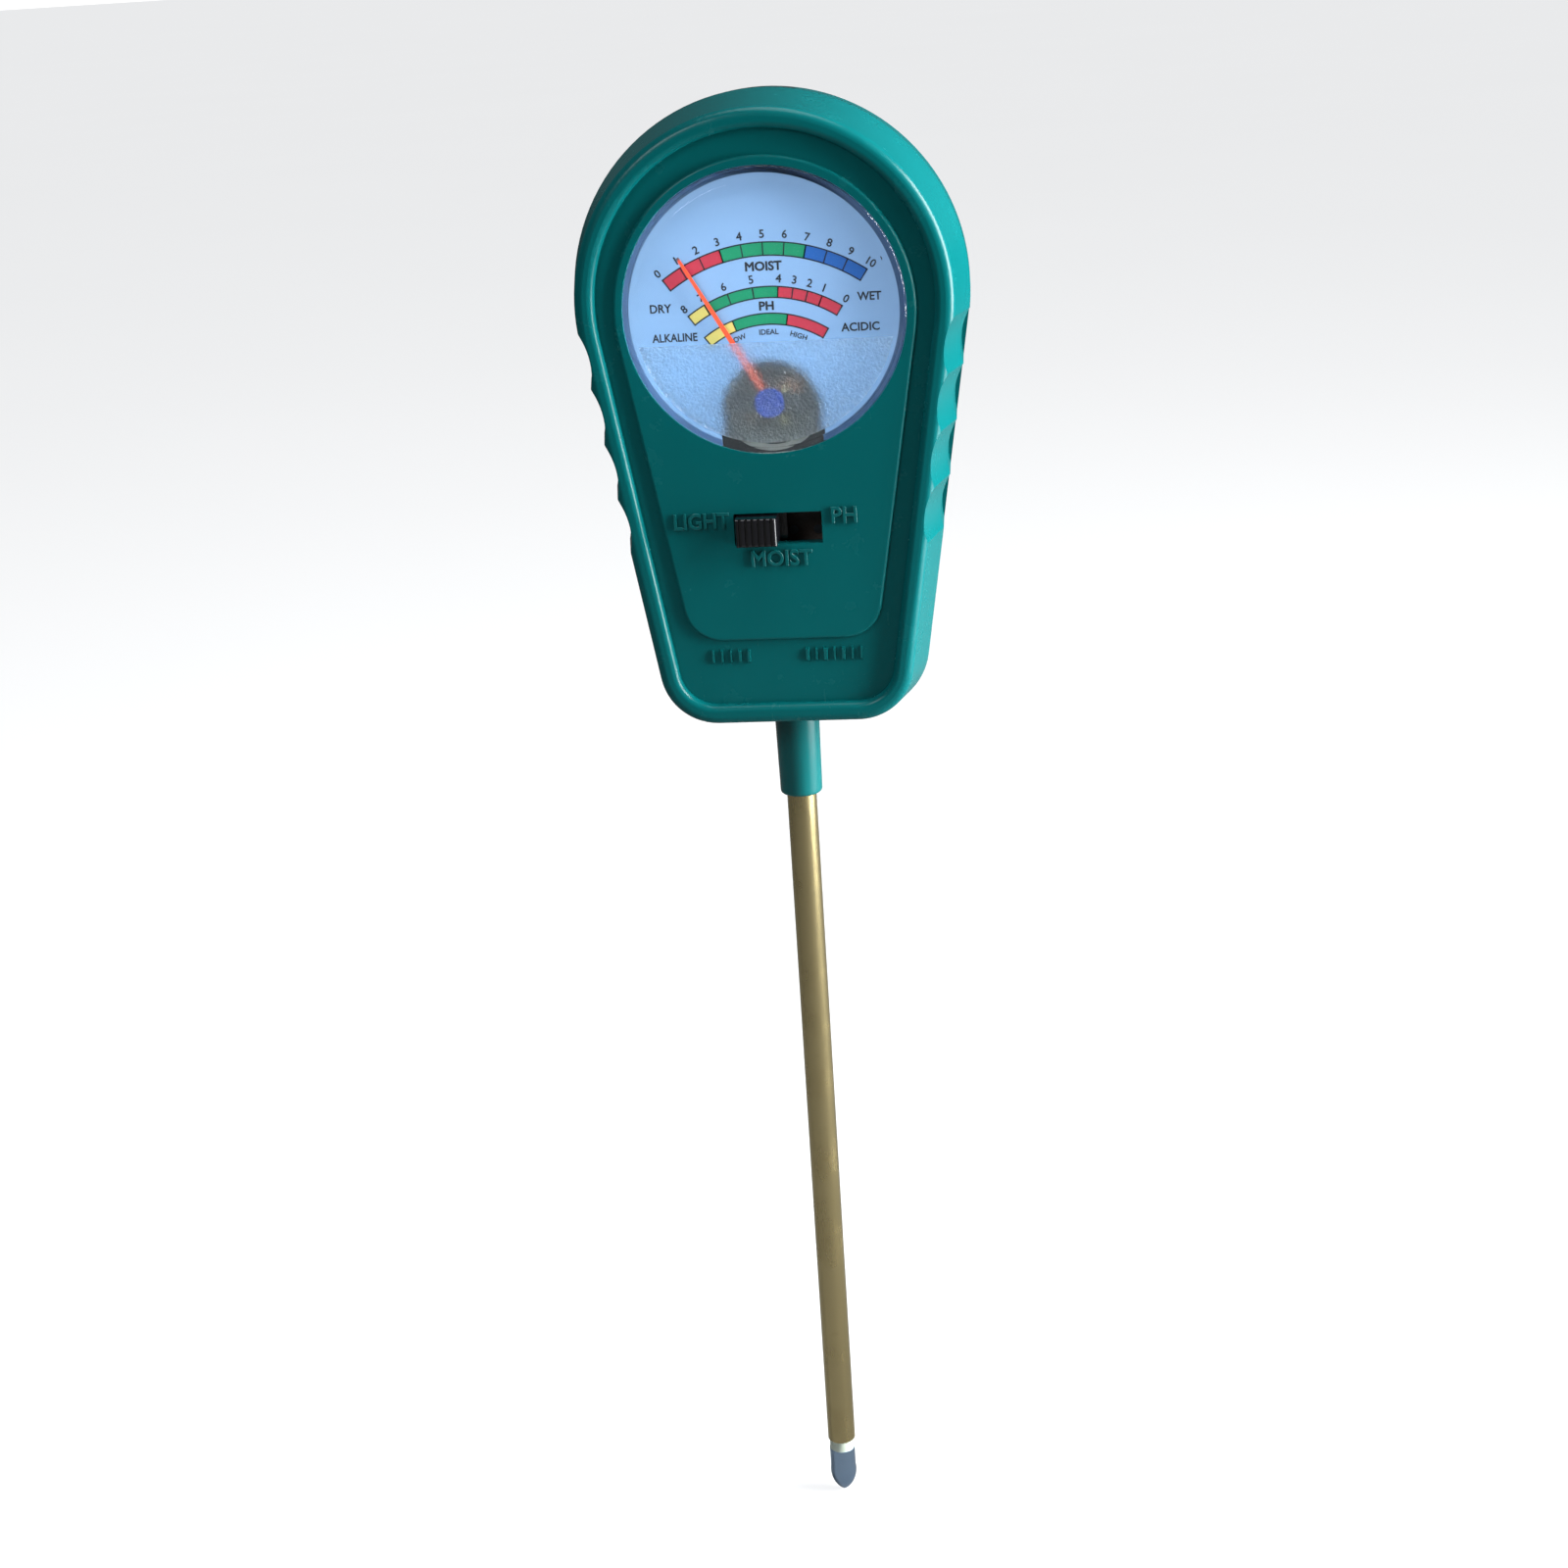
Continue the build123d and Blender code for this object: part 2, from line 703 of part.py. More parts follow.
def strap(y0, foot_y, tab_y):
    """A bridge: a flat bar at y0 across the yoke, with two legs down to foot_y."""
    half = strap_span / 2
    y1 = y0 + strap_thickness
    bar = block(-half, half, y0, y1, pivot_z - strap_width / 2, pivot_z + strap_width / 2)
    leg_low, leg_high = min(y1, foot_y), max(y1, foot_y)
    for side in (-1, 1):
        near, far = sorted((side * half, side * (half - strap_thickness)))
        bar += block(near, far, leg_low, leg_high, pivot_z - strap_width / 2, pivot_z + strap_width / 2)
    if tab_y is not None:
        bar += block(spring_end(), spring_end() + strap_thickness, min(y0, tab_y), y0,
                     pivot_z - strap_thickness, pivot_z + strap_thickness)
    return bar - bar_y(bearing_shank + fit_gap, y0 - 1, y1 + 1, 0, pivot_z)


def front_bridge():
    return strap(front_strap_y, yoke_front - pad_thickness, None)


def rear_bridge():
    return strap(rear_strap_y, yoke_back, rear_spring_mid())


def bridge_pads():
    half = strap_span / 2
    return [block(*sorted((side * half, side * (half - strap_thickness))), yoke_front - pad_thickness,
                  yoke_front, pivot_z - strap_width / 2, pivot_z + strap_width / 2) for side in (-1, 1)]


def rear_spring_mid():
    return (coil_back + rear_strap_y) / 2 + spring_height / 2


def front_bearing():
    head_front = front_strap_y - bearing_head_thickness
    body = bar_y(bearing_head, head_front, front_strap_y, 0, pivot_z)
    body = fillet(body.faces().sort_by(Axis.Y)[0].edges(), bearing_head_thickness / 2)
    body += bar_y(bearing_shank, front_strap_y, front_strap_y + strap_thickness + 0.3, 0, pivot_z)
    mouth = front_strap_y + strap_thickness + 0.3
    return body - bar_y(axle_radius + axle_gap, mouth - bearing_depth, mouth + 1, 0, pivot_z)


def rear_bearing():
    head_front = rear_strap_y + strap_thickness
    body = bar_y(rear_bearing_head, head_front, head_front + rear_bearing_head_thickness, 0, pivot_z)
    body -= block(-rear_bearing_head, rear_bearing_head, head_front + rear_bearing_head_thickness / 2,
                  head_front + 2, pivot_z - drive_width / 4, pivot_z + drive_width / 4)
    mouth = rear_strap_y - 0.3
    body += bar_y(bearing_shank, mouth, head_front, 0, pivot_z)
    return body - bar_y(axle_radius + axle_gap, mouth - 1, mouth + bearing_depth, 0, pivot_z)


def front_spring_y():
    """The depth of the front hair spring's front edge."""
    under = front_strap_y + strap_thickness + adjuster_thickness
    return (under + hub_front - pointer_thickness) / 2 - spring_height / 2


def zero_adjuster():
    y0 = front_strap_y + strap_thickness
    y1 = y0 + adjuster_thickness
    body = ring_y(adjuster_radius, bearing_shank + fit_gap, y0, y1, 0, pivot_z)
    start = adjuster_radius - 0.4
    body += block(start, adjuster_reach, y0, y1, pivot_z - adjuster_width / 2, pivot_z + adjuster_width / 2)
    body += block(spring_end(), spring_end() + 0.4, y1, front_spring_y() + spring_height,
                  pivot_z - 0.4, pivot_z + 0.4)
    return body


def front_hairspring():
    y0 = front_spring_y()
    return spiral(y0, y0 + spring_height)


def rear_hairspring():
    y0 = rear_spring_mid() - spring_height / 2
    return spiral(y0, y0 + spring_height)


# ---- slide switch and board --------------------------------------------------------
def switch_knob():
    top = panel_y - knob_proud
    stem = block(knob_left, knob_left + knob_width, top, carriage_front,
                 slot_z - knob_height / 2, slot_z + knob_height / 2)
    upper = stem.faces().sort_by(Axis.Y)[0].edges()
    stem = fillet(upper, 0.5)
    pitch = knob_width / (knob_rib_count + 0.5)
    for index in range(knob_rib_count):
        x = knob_mid + (index - (knob_rib_count - 1) / 2) * pitch
        stem -= block(x - pitch * 0.24, x + pitch * 0.24, top - 1, top + knob_rib_depth,
                      slot_z - knob_height, slot_z + knob_height)
    half = knob_width / 2 + carriage_overhang
    inner_height = can_height / 2 - can_sheet - carriage_gap
    return stem + block(knob_mid - half, knob_mid + half, carriage_front, carriage_back,
                        slot_z - inner_height, slot_z + inner_height)


def switch_wiper():
    half = wiper_length / 2
    y1 = carriage_back + wiper_strip
    body = block(knob_mid - half, knob_mid + half, carriage_back, y1,
                 slot_z - pin_row_offset - wiper_width / 2, slot_z + pin_row_offset + wiper_width / 2)
    for side in (-1, 1):
        foot = knob_mid + side * (half - 0.4)
        for row in (-1, 1):
            z = slot_z + row * pin_row_offset
            body += block(foot - 0.4, foot + 0.4, y1, carriage_back + wiper_height,
                          z - wiper_width / 4, z + wiper_width / 4)
    return body


def switch_can():
    x = can_length / 2
    z = can_height / 2
    body = block(-x, x, can_front, can_back, slot_z - z, slot_z + z)
    inner_x, inner_z = x - can_sheet, z - can_sheet
    body -= block(-inner_x, inner_x, can_front + can_sheet, can_back + 1, slot_z - inner_z, slot_z + inner_z)
    wide = slot_width / 2 + can_window_gap
    tall = slot_height / 2 + can_window_gap
    body -= block(slot_x - wide, slot_x + wide, can_front - 1, can_front + 1, slot_z - tall, slot_z + tall)
    for side in (-1, 1):
        near, far = sorted((side * x, side * inner_x))
        body += block(near, far, can_back - 0.1, board_front, slot_z - can_leg_width / 2,
                      slot_z + can_leg_width / 2)
    return body


def pin_places():
    """The switch's pins, as (x, z)."""
    columns = [(index - (pin_columns - 1) / 2) * pin_pitch for index in range(pin_columns)]
    return [(x, slot_z + row * pin_row_offset) for row in (-1, 1) for x in columns]


def switch_base():
    x = can_length / 2 - can_sheet - base_gap
    z = can_height / 2 - can_sheet - base_gap
    body = block(-x, x, base_front, can_back, slot_z - z, slot_z + z)
    for px, pz in pin_places():
        body -= bar_y(pin_radius + pin_gap, base_front - 1, can_back + 1, px, pz)
    return body


def switch_terminals():
    pins = []
    for x, z in pin_places():
        pin = bar_y(pin_radius, base_front, board_back + pin_past_board, x, z)
        pins.append(pin + bar_y(pad_radius, base_front - pad_rise, base_front, x, z))
    return pins


def circuit_board():
    body = block(-board_width / 2, board_width / 2, board_front, board_back, board_bottom, board_top)
    for px, pz in pin_places():
        body -= bar_y(pin_radius + pin_gap, board_front - 1, board_back + 1, px, pz)
    for side in (-1, 1):
        body -= bar_y(small_screw_radius + screw_gap, board_front - 1, board_back + 1,
                      side * board_screw_x, board_screw_z)
    return body


def board_screws():
    return [screw(small_screw_radius, small_screw_length, small_head_radius, small_head_height,
                  side * board_screw_x, board_back, board_screw_z) for side in (-1, 1)]


def resistors():
    rows = []
    y = board_back + resistor_radius + 0.4
    for z in resistor_rows:
        body = Pos(0, y, z) * Rot(0, 90, 0) * Cylinder(resistor_radius, resistor_length)
        body = fillet(body.faces().filter_by(GeomType.PLANE).edges(), resistor_radius * 0.5)
        half = resistor_lead_span / 2
        body += Pos(0, y, z) * Rot(0, 90, 0) * Cylinder(resistor_lead, 2 * half)
        for side in (-1, 1):
            body += bar_y(resistor_lead, board_back, y + resistor_lead, side * (half - resistor_lead), z)
        rows.append(body)
    return rows


# ---- probe --------------------------------------------------------------------------
def probe_tube():
    body = bar_z(tube_radius, -tube_length, 0) + bar_z(neck_radius, 0, neck_top)
    return body - bar_z(tube_bore, -tube_length - 1, neck_top + 1)


def probe_collar():
    low = collar_radius - collar_taper
    skirt = Cone(low, collar_radius, head_bottom - 1,
                                align=(Align.CENTER, Align.CENTER, Align.MIN))
    skirt = fillet(skirt.faces().sort_by(Axis.Z)[0].edges(), collar_edge_round)
    body = skirt + bar_z(collar_radius, head_bottom - 1, stub_top)
    body += bar_z(collar_flange_radius, flange_low, flange_high)
    return body - bar_z(neck_radius + fit_gap, -1, stub_top + 1)


def core_sleeve():
    return ring_z(tube_bore - fit_gap, rod_radius + fit_gap, -tube_length, sleeve_top)


def core_rod():
    return bar_z(rod_radius, ring_end - tip_socket, rod_top)


def insulator_ring():
    return ring_z(tube_radius - ring_step, rod_radius + fit_gap, ring_end, -tube_length)


def probe_tip():
    radius = tube_radius - tip_step
    shoulder = ring_end - tip_straight
    nose = ThreePointArc((radius, shoulder), (radius * 0.72, shoulder - tip_nose * 0.68), (tip_point, tip_end))
    sides = Polyline((tip_point, tip_end), (0, tip_end), (0, ring_end), (radius, ring_end), (radius, shoulder))
    profile = Plane.XZ * make_face(Curve() + [nose, sides])
    body = revolve(profile, Axis.Z)
    return body - bar_z(rod_radius + fit_gap, ring_end - tip_socket, ring_end + 1)


def tag(inner, z, side):
    """A soldering tag round the probe, its tongue reaching out along X."""
    body = ring_z(inner + tag_ring, inner + fit_gap, z, z + tag_thickness)
    near, far = sorted((side * (inner + tag_ring / 2), side * tag_reach))
    return body + block(near, far, -tag_width / 2, tag_width / 2, z, z + tag_thickness)


def tube_tag():
    return tag(neck_radius, stub_top, -1)


def rod_tag():
    return tag(rod_radius, rod_tag_z, 1)


def probe_lead(side, start_z, land_x, land_z):
    """A wire from a tag's tongue up to the back of the board."""
    x = side * (tag_reach - 1.2)
    return lead([(x, 0, start_z), (x, 0, start_z + 5), (side * 9.0, 4.4, start_z + 9),
                 (side * land_x, 6.0, land_z), (side * land_x, board_back, land_z)])


def tube_lead():
    return probe_lead(-1, stub_top + tag_thickness, 9.5, board_bottom + probe_land_rise)


def rod_lead():
    return probe_lead(1, rod_tag_z + tag_thickness, 10.5, board_bottom + 3.6 * probe_land_rise)


def meter_lead(side):
    """A wire from a carrier pin down to the back of the board."""
    x = side * meter_pin_x
    z = pivot_z - meter_pin_drop
    start_y = ear_y + arm_thickness + meter_pin_stick_out
    land_z = board_top - meter_land_drop
    return lead([(x, start_y, z), (x, start_y + 4.5, z), (x + side * 0.8, start_y + 6.5, z - 5.5),
                 (x, 4.6, land_z), (x, board_back, land_z)])


def cell_lead(side):
    """A wire from the light cell down behind the movement to the board."""
    x = side * 3.5
    low = window_low - cell_thickness
    start_y = window_front + window_depth / 2
    land_z = board_top - cell_land_drop
    return lead([(x, start_y, low), (x, start_y, low - 9), (side * 4.5, 8.4, low - 21),
                 (side * 4.0, 9.0, low - 36), (side * 5.0, 8.8, low - 50), (side * 8.4, 6.6, low - 61),
                 (side * 9.4, 5.2, land_z), (side * 9.4, board_back, land_z)])


# ---- write one file for each node -----------------------------------------------------
pieces = {
    "front_shell": front_shell(),
    "rear_shell": rear_shell(),
    "case_screws": case_screws(),
    "light_window": light_window(),
    "light_cell": light_cell(),
    "lens": lens(),
    "dial_plate": dial_plate(),
    "movement_carrier": carrier(),
    "carrier_screws": carrier_screws(),
    "meter_terminals": meter_terminals(),
    "yoke_ring": yoke_ring(),
    "magnet_core": magnet_core(),
    "core_holder": core_holder(),
    "coil_former": coil_former(),
    "coil_winding": coil_winding(),
    "coil_pivots": coil_pivots(),
    "pointer_hub": pointer_hub(),
    "balance_weights": balance_weights(),
    "pointer": pointer(),
    "front_bridge": front_bridge(),
    "bridge_pads": bridge_pads(),
    "rear_bridge": rear_bridge(),
    "front_bearing": front_bearing(),
    "rear_bearing": rear_bearing(),
    "zero_adjuster": zero_adjuster(),
    "front_hairspring": front_hairspring(),
    "rear_hairspring": rear_hairspring(),
    "switch_knob": switch_knob(),
    "switch_wiper": switch_wiper(),
    "switch_can": switch_can(),
    "switch_base": switch_base(),
    "switch_terminals": switch_terminals(),
    "circuit_board": circuit_board(),
    "board_screws": board_screws(),
    "resistors": resistors(),
    "probe_collar": probe_collar(),
    "probe_tube": probe_tube(),
    "core_sleeve": core_sleeve(),
    "core_rod": core_rod(),
    "insulator_ring": insulator_ring(),
    "probe_tip": probe_tip(),
    "tube_tag": tube_tag(),
    "rod_tag": rod_tag(),
    "tube_lead": tube_lead(),
    "rod_lead": rod_lead(),
    "meter_lead_left": meter_lead(-1),
    "meter_lead_right": meter_lead(1),
    "cell_lead_left": cell_lead(-1),
    "cell_lead_right": cell_lead(1),
}

os.makedirs("parts", exist_ok=True)
for name, shape in pieces.items():
    solids = shape if isinstance(shape, list) else [shape]
    whole = Compound([solid for item in solids for solid in item.solids()])
    export_step(whole if len(whole.solids()) > 1 else whole.solids()[0], f"parts/{name}.step")
    print(name, len(whole.solids()), round(whole.volume, 3))
print("switch travel", round(knob_travel, 2))
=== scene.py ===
"""Finishes, printing and studio for a garden soil meter with a sliding switch and one probe."""

import json
import logging
import math
from collections.abc import Mapping, Sequence
from dataclasses import dataclass
from enum import Enum

import bpy
from mathutils import Matrix, Vector


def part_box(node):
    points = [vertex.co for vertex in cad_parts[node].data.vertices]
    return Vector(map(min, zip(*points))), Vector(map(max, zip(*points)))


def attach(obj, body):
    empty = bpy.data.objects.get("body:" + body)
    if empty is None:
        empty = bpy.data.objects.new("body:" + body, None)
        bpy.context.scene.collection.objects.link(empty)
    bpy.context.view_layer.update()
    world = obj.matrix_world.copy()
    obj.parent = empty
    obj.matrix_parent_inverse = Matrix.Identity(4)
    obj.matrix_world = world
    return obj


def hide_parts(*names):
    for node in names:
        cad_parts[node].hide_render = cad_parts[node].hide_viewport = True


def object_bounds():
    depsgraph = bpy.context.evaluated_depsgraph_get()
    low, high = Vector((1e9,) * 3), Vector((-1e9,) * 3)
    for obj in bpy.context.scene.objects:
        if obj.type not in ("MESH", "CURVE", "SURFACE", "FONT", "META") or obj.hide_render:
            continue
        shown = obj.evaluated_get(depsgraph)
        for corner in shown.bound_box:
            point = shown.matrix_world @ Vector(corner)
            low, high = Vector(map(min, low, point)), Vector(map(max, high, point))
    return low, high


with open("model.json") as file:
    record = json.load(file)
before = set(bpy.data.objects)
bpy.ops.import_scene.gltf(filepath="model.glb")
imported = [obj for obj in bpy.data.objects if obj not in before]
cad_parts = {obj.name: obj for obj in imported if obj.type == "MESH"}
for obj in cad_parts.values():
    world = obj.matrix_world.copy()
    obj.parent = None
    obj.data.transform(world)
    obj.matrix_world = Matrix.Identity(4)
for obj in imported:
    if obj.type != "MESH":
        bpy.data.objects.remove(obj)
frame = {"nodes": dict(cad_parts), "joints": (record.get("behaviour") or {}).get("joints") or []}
CAD_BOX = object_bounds()

LOG = logging.getLogger("soil_meter")
MM = 0.001
UPRIGHT = Matrix.Rotation(math.radians(90), 4, "X")  # turns a flat drawing to face the reader
Colour = tuple[float, float, float]
Point = tuple[float, float, float]
Names = tuple[str, ...]
Socket = bpy.types.NodeSocket
Mesh = bpy.types.Mesh
EVEN = (1.0, 1.0, 1.0)  # no streaks
ALONG_X = (0.06, 1.0, 1.0)  # streaks that run in X


class Body(Enum):
    """The bodies of the meter that a piece can ride on."""

    CASE = "case"
    NEEDLE = "needle"


# ---------------------------------------------------------------- node trees


class Number:
    """One value in a node tree, which Python arithmetic carries on with Math nodes."""

    def __init__(self, wiring: "Wiring", socket: Socket) -> None:
        """Wraps an output socket of the wiring's tree."""
        self.wiring = wiring
        self.socket = socket

    def maths(self, operation: str, first: object, second: object) -> "Number":
        """Adds a Math node.

        Args:
            operation: the Math node's operation.
            first: its first value, a number or a Number.
            second: its second value, a number or a Number.

        Returns:
            The node's result.
        """
        node = self.wiring.node("ShaderNodeMath", {0: first, 1: second}, operation=operation)
        return Number(self.wiring, node.outputs[0])

    def __add__(self, other: object) -> "Number":
        """Self plus other."""
        return self.maths("ADD", self, other)

    __radd__ = __add__

    def __sub__(self, other: object) -> "Number":
        """Self less other."""
        return self.maths("SUBTRACT", self, other)

    def __mul__(self, other: object) -> "Number":
        """Self times other."""
        return self.maths("MULTIPLY", self, other)

    def __truediv__(self, other: object) -> "Number":
        """Self over other."""
        return self.maths("DIVIDE", self, other)

    def sine(self) -> "Number":
        """The sine of self in radians."""
        return self.maths("SINE", self, 0.0)

    def cosine(self) -> "Number":
        """The cosine of self in radians."""
        return self.maths("COSINE", self, 0.0)

    def absolute(self) -> "Number":
        """Self without its sign."""
        return self.maths("ABSOLUTE", self, 0.0)

    def step(self, low: float, high: float) -> "Number":
        """A smooth step of self.

        Args:
            low: where the step starts, at 0.
            high: where it ends, at 1; below low for a falling step.

        Returns:
            A Number from 0 to 1.
        """
        values = {0: self, 1: min(low, high), 2: max(low, high)}
        ends = {3: 0.0, 4: 1.0} if low < high else {3: 1.0, 4: 0.0}
        kind = "ShaderNodeMapRange"
        node = self.wiring.node(kind, values | ends, interpolation_type="SMOOTHSTEP")
        return Number(self.wiring, node.outputs[0])


class Wiring:
    """A node tree under construction."""

    def __init__(self, tree: bpy.types.NodeTree) -> None:
        """Starts on an empty tree."""
        self.tree = tree

    def node(
        self,
        kind: str,
        values: Mapping[int | str, object] | None = None,
        **settings: object,
    ) -> bpy.types.Node:
        """Adds one node.

        Args:
            kind: the node's type.
            values: a value, socket or Number for each input that isn't left as it is.
            settings: its properties.

        Returns:
            The node.
        """
        node = self.tree.nodes.new(kind)
        for key, value in settings.items():
            setattr(node, key, value)
        for key, value in (values or {}).items():
            socket = value.socket if isinstance(value, Number) else value
            if isinstance(socket, Socket):
                self.tree.links.new(socket, node.inputs[key])
            else:
                node.inputs[key].default_value = socket
        return node

    def split(self, vector: object) -> tuple[Number, Number, Number]:
        """A vector's three numbers."""
        node = self.node("ShaderNodeSeparateXYZ", {0: vector})
        return tuple(Number(self, out) for out in node.outputs[:3])


class Shader(Wiring):
    """A material under construction."""

    def __init__(self, name: str) -> None:
        """Starts an empty material called name."""
        self.material = bpy.data.materials.new(name)
        self.material.use_nodes = True
        self.material.node_tree.nodes.clear()
        super().__init__(self.material.node_tree)
        self.place = self.node("ShaderNodeTexCoord").outputs["Object"]

    def noise(self, size: float, detail: float, stretch: Point = EVEN) -> Number:
        """Cloudy noise.

        Args:
            size: how wide one cloud is, in metres.
            detail: how many finer layers it has.
            stretch: density along each axis beside the others.

        Returns:
            A Number about 0.5.
        """
        place = {"Vector": self.place, "Scale": stretch}
        spot = self.node("ShaderNodeMapping", place).outputs[0]
        values = {"Vector": spot, "Scale": 1.0 / size, "Detail": detail}
        return Number(self, self.node("ShaderNodeTexNoise", values).outputs[0])

    def cells(self, size: float) -> Number:
        """Distance to the nearest of scattered points, which stand about size apart."""
        values = {"Vector": self.place, "Scale": 1.0 / size}
        return Number(self, self.node("ShaderNodeTexVoronoi", values).outputs["Distance"])

    def mix(self, share: object, first: object, second: object) -> Socket:
        """A colour between two.

        Args:
            share: how much of the second, from 0 to 1.
            first: a colour or a colour socket.
            second: a colour or a colour socket.

        Returns:
            The colour socket.
        """
        ends = {6: first, 7: second}
        values = {k: (*v, 1.0) if isinstance(v, tuple) else v for k, v in ends.items()}
        node = self.node("ShaderNodeMix", {0: share} | values, data_type="RGBA")
        return node.outputs[2]

    def bump(self, height: Number, depth: float) -> Socket:
        """A normal for relief of a given depth in metres."""
        values = {"Height": height, "Distance": depth, "Strength": 1.0}
        return self.node("ShaderNodeBump", values).outputs[0]

    def principled(self, values: Mapping[str, object]) -> Socket:
        """Adds a Principled shader.

        Args:
            values: its inputs; a three-number colour gets its alpha here.

        Returns:
            The shader's socket.
        """
        full = {}
        for key, value in values.items():
            colour = isinstance(value, tuple) and len(value) == 3
            full[key] = (*value, 1.0) if colour else value
        return self.node("ShaderNodeBsdfPrincipled", full).outputs[0]

    def end(self, surface: Socket) -> None:
        """Ends the material in a shader's socket."""
        self.node("ShaderNodeOutputMaterial", {"Surface": surface})

    def close(self, values: Mapping[str, object]) -> None:
        """Ends the material in one Principled shader with these inputs."""
        self.end(self.principled(values))

    def close_clear(self, values: Mapping[str, object], passed: Colour) -> None:
        """Ends the material in clear plastic that lets lamps shine through.

        Args:
            values: the Principled shader's inputs.
            passed: the colour of lamp light that gets through.
        """
        body = self.principled(values)
        gap = self.node("ShaderNodeBsdfTransparent", {"Color": (*passed, 1.0)}).outputs[0]
        lamp = self.node("ShaderNodeLightPath").outputs["Is Shadow Ray"]
        self.end(self.node("ShaderNodeMixShader", {0: lamp, 1: body, 2: gap}).outputs[0])


# ---------------------------------------------------------------- finishes


@dataclass(frozen=True)
class Finish:
    """A surface finish, made once and shared."""

    name: str
    colour: Colour

    def shade(self, shader: Shader) -> None:
        """Adds the finish's nodes to an empty material."""
        raise NotImplementedError

    def build(self) -> bpy.types.Material:
        """The finished material."""
        shader = Shader(self.name)
        self.shade(shader)
        return shader.material


@dataclass(frozen=True)
class Moulded(Finish):
    """Injection-moulded plastic with a spark-eroded grain, flow marks and rubbed patches.

    Lengths are in metres. A finish with a seam has a fine dark line where its two shells meet.
    """

    roughness: float = 0.38
    grain: float = 0.45 * MM
    depth: float = 0.012 * MM
    shift: float = 0.18
    shine: float = 0.5
    seam: float = 0.0
    flow_size: float = 30.0 * MM
    rub_size: float = 6.0 * MM
    scuff_size: float = 1.6 * MM

    def shade(self, shader: Shader) -> None:
        """Adds colour drift, rubbed patches and grain."""
        flow = shader.noise(self.flow_size, 3.0, (1.0, 1.0, 0.35))
        rub = shader.noise(self.rub_size, 4.0).step(0.56, 0.74)
        scuff = shader.noise(self.scuff_size, 3.0, (1.0, 1.0, 0.12)).step(0.66, 0.74)
        fine = shader.noise(self.grain, 2.0)
        deep = tuple(c * (1.0 - self.shift) for c in self.colour)
        pale = tuple(min(1.0, c * (1.0 + self.shift) + 0.004) for c in self.colour)
        drifted = shader.mix(flow.step(0.3, 0.7), deep, self.colour)
        face = shader.mix(rub * 0.14 + scuff * 0.06, drifted, pale)
        uneven = (flow - 0.5) * 0.10 + (fine - 0.5) * 0.06
        rough = uneven + rub * 0.05 + scuff * 0.03 + self.roughness
        relief = fine * 0.8 + flow * 1.2 - scuff * 0.2
        if self.seam:
            from_parting = shader.split(shader.place)[1].absolute()
            gap = from_parting.step(self.seam, self.seam * 0.4)
            face = shader.mix(gap * 0.75, face, tuple(c * 0.25 for c in self.colour))
            rough = rough + gap * 0.3
            relief = relief - gap * 8.0
        values = {"Base Color": face, "Roughness": rough, "Specular IOR Level": self.shine}
        shader.close(values | {"Normal": shader.bump(relief, self.depth)})


@dataclass(frozen=True)
class Metal(Finish):
    """Drawn, rolled or plated metal with streaks along one axis and dull spots of tarnish."""

    tarnish: Colour = (0.2, 0.15, 0.1)
    roughness: float = 0.25
    streak: Point = (1.0, 1.0, 0.02)
    age: float = 0.35
    line_size: float = 0.9 * MM
    cloud_size: float = 11.0 * MM
    spot_size: float = 2.1 * MM
    pit_size: float = 0.22 * MM
    depth: float = 0.006 * MM

    def shade(self, shader: Shader) -> None:
        """Adds streaks, tarnish and fine pits."""
        lines = shader.noise(self.line_size, 4.0, self.streak)
        cloud = shader.noise(self.cloud_size, 4.0)
        spots = shader.noise(self.spot_size, 3.0).step(0.60, 0.72)
        pits = shader.noise(self.pit_size, 1.0)
        dulled = cloud.step(0.42, 0.68) * self.age + spots * (0.5 * self.age)
        face = shader.mix(dulled, self.colour, self.tarnish)
        rough = (lines - 0.5) * 0.22 + dulled * 0.30 + self.roughness
        relief = lines + pits * 0.25 - spots * 0.3
        values = {"Base Color": face, "Metallic": 1.0, "Roughness": rough}
        shader.close(values | {"Normal": shader.bump(relief, self.depth)})


@dataclass(frozen=True)
class Clear(Finish):
    """Clear cast plastic with faint wiping scratches."""

    index: float = 1.49
    roughness: float = 0.03
    depth: float = 0.001 * MM

    def shade(self, shader: Shader) -> None:
        """Adds smooth glass with hairline relief."""
        wipes = shader.noise(0.9 * MM, 3.0, (1.0, 1.0, 0.05)).step(0.62, 0.75)
        values = {
            "Base Color": self.colour,
            "Transmission Weight": 1.0,
            "Roughness": self.roughness,
            "IOR": self.index,
            "Normal": shader.bump(wipes, self.depth),
        }
        shader.close_clear(values, self.colour)


@dataclass(frozen=True)
class Pebbled(Finish):
    """Clear plastic moulded with a pebbled texture that blurs what lies behind it."""

    index: float = 1.49
    pebble: float = 0.45 * MM
    depth: float = 0.45 * MM
    roughness: float = 0.30

    def shade(self, shader: Shader) -> None:
        """Adds rough glass with a pebble relief, and painted shade: darker grains for the dark
        inside seen through it.
        """
        grain = shader.noise(self.pebble, 2.0)
        # painted shade: grains darkened by a fifth, standing in for the dark inside of the case
        # seen through the pebbles
        dim = tuple(c * 0.80 for c in self.colour)
        values = {
            "Base Color": shader.mix(grain.step(0.30, 0.62), dim, self.colour),
            "Transmission Weight": 1.0,
            "Roughness": self.roughness,
            "IOR": self.index,
            "Normal": shader.bump(grain, self.depth),
        }
        shader.close_clear(values, self.colour)


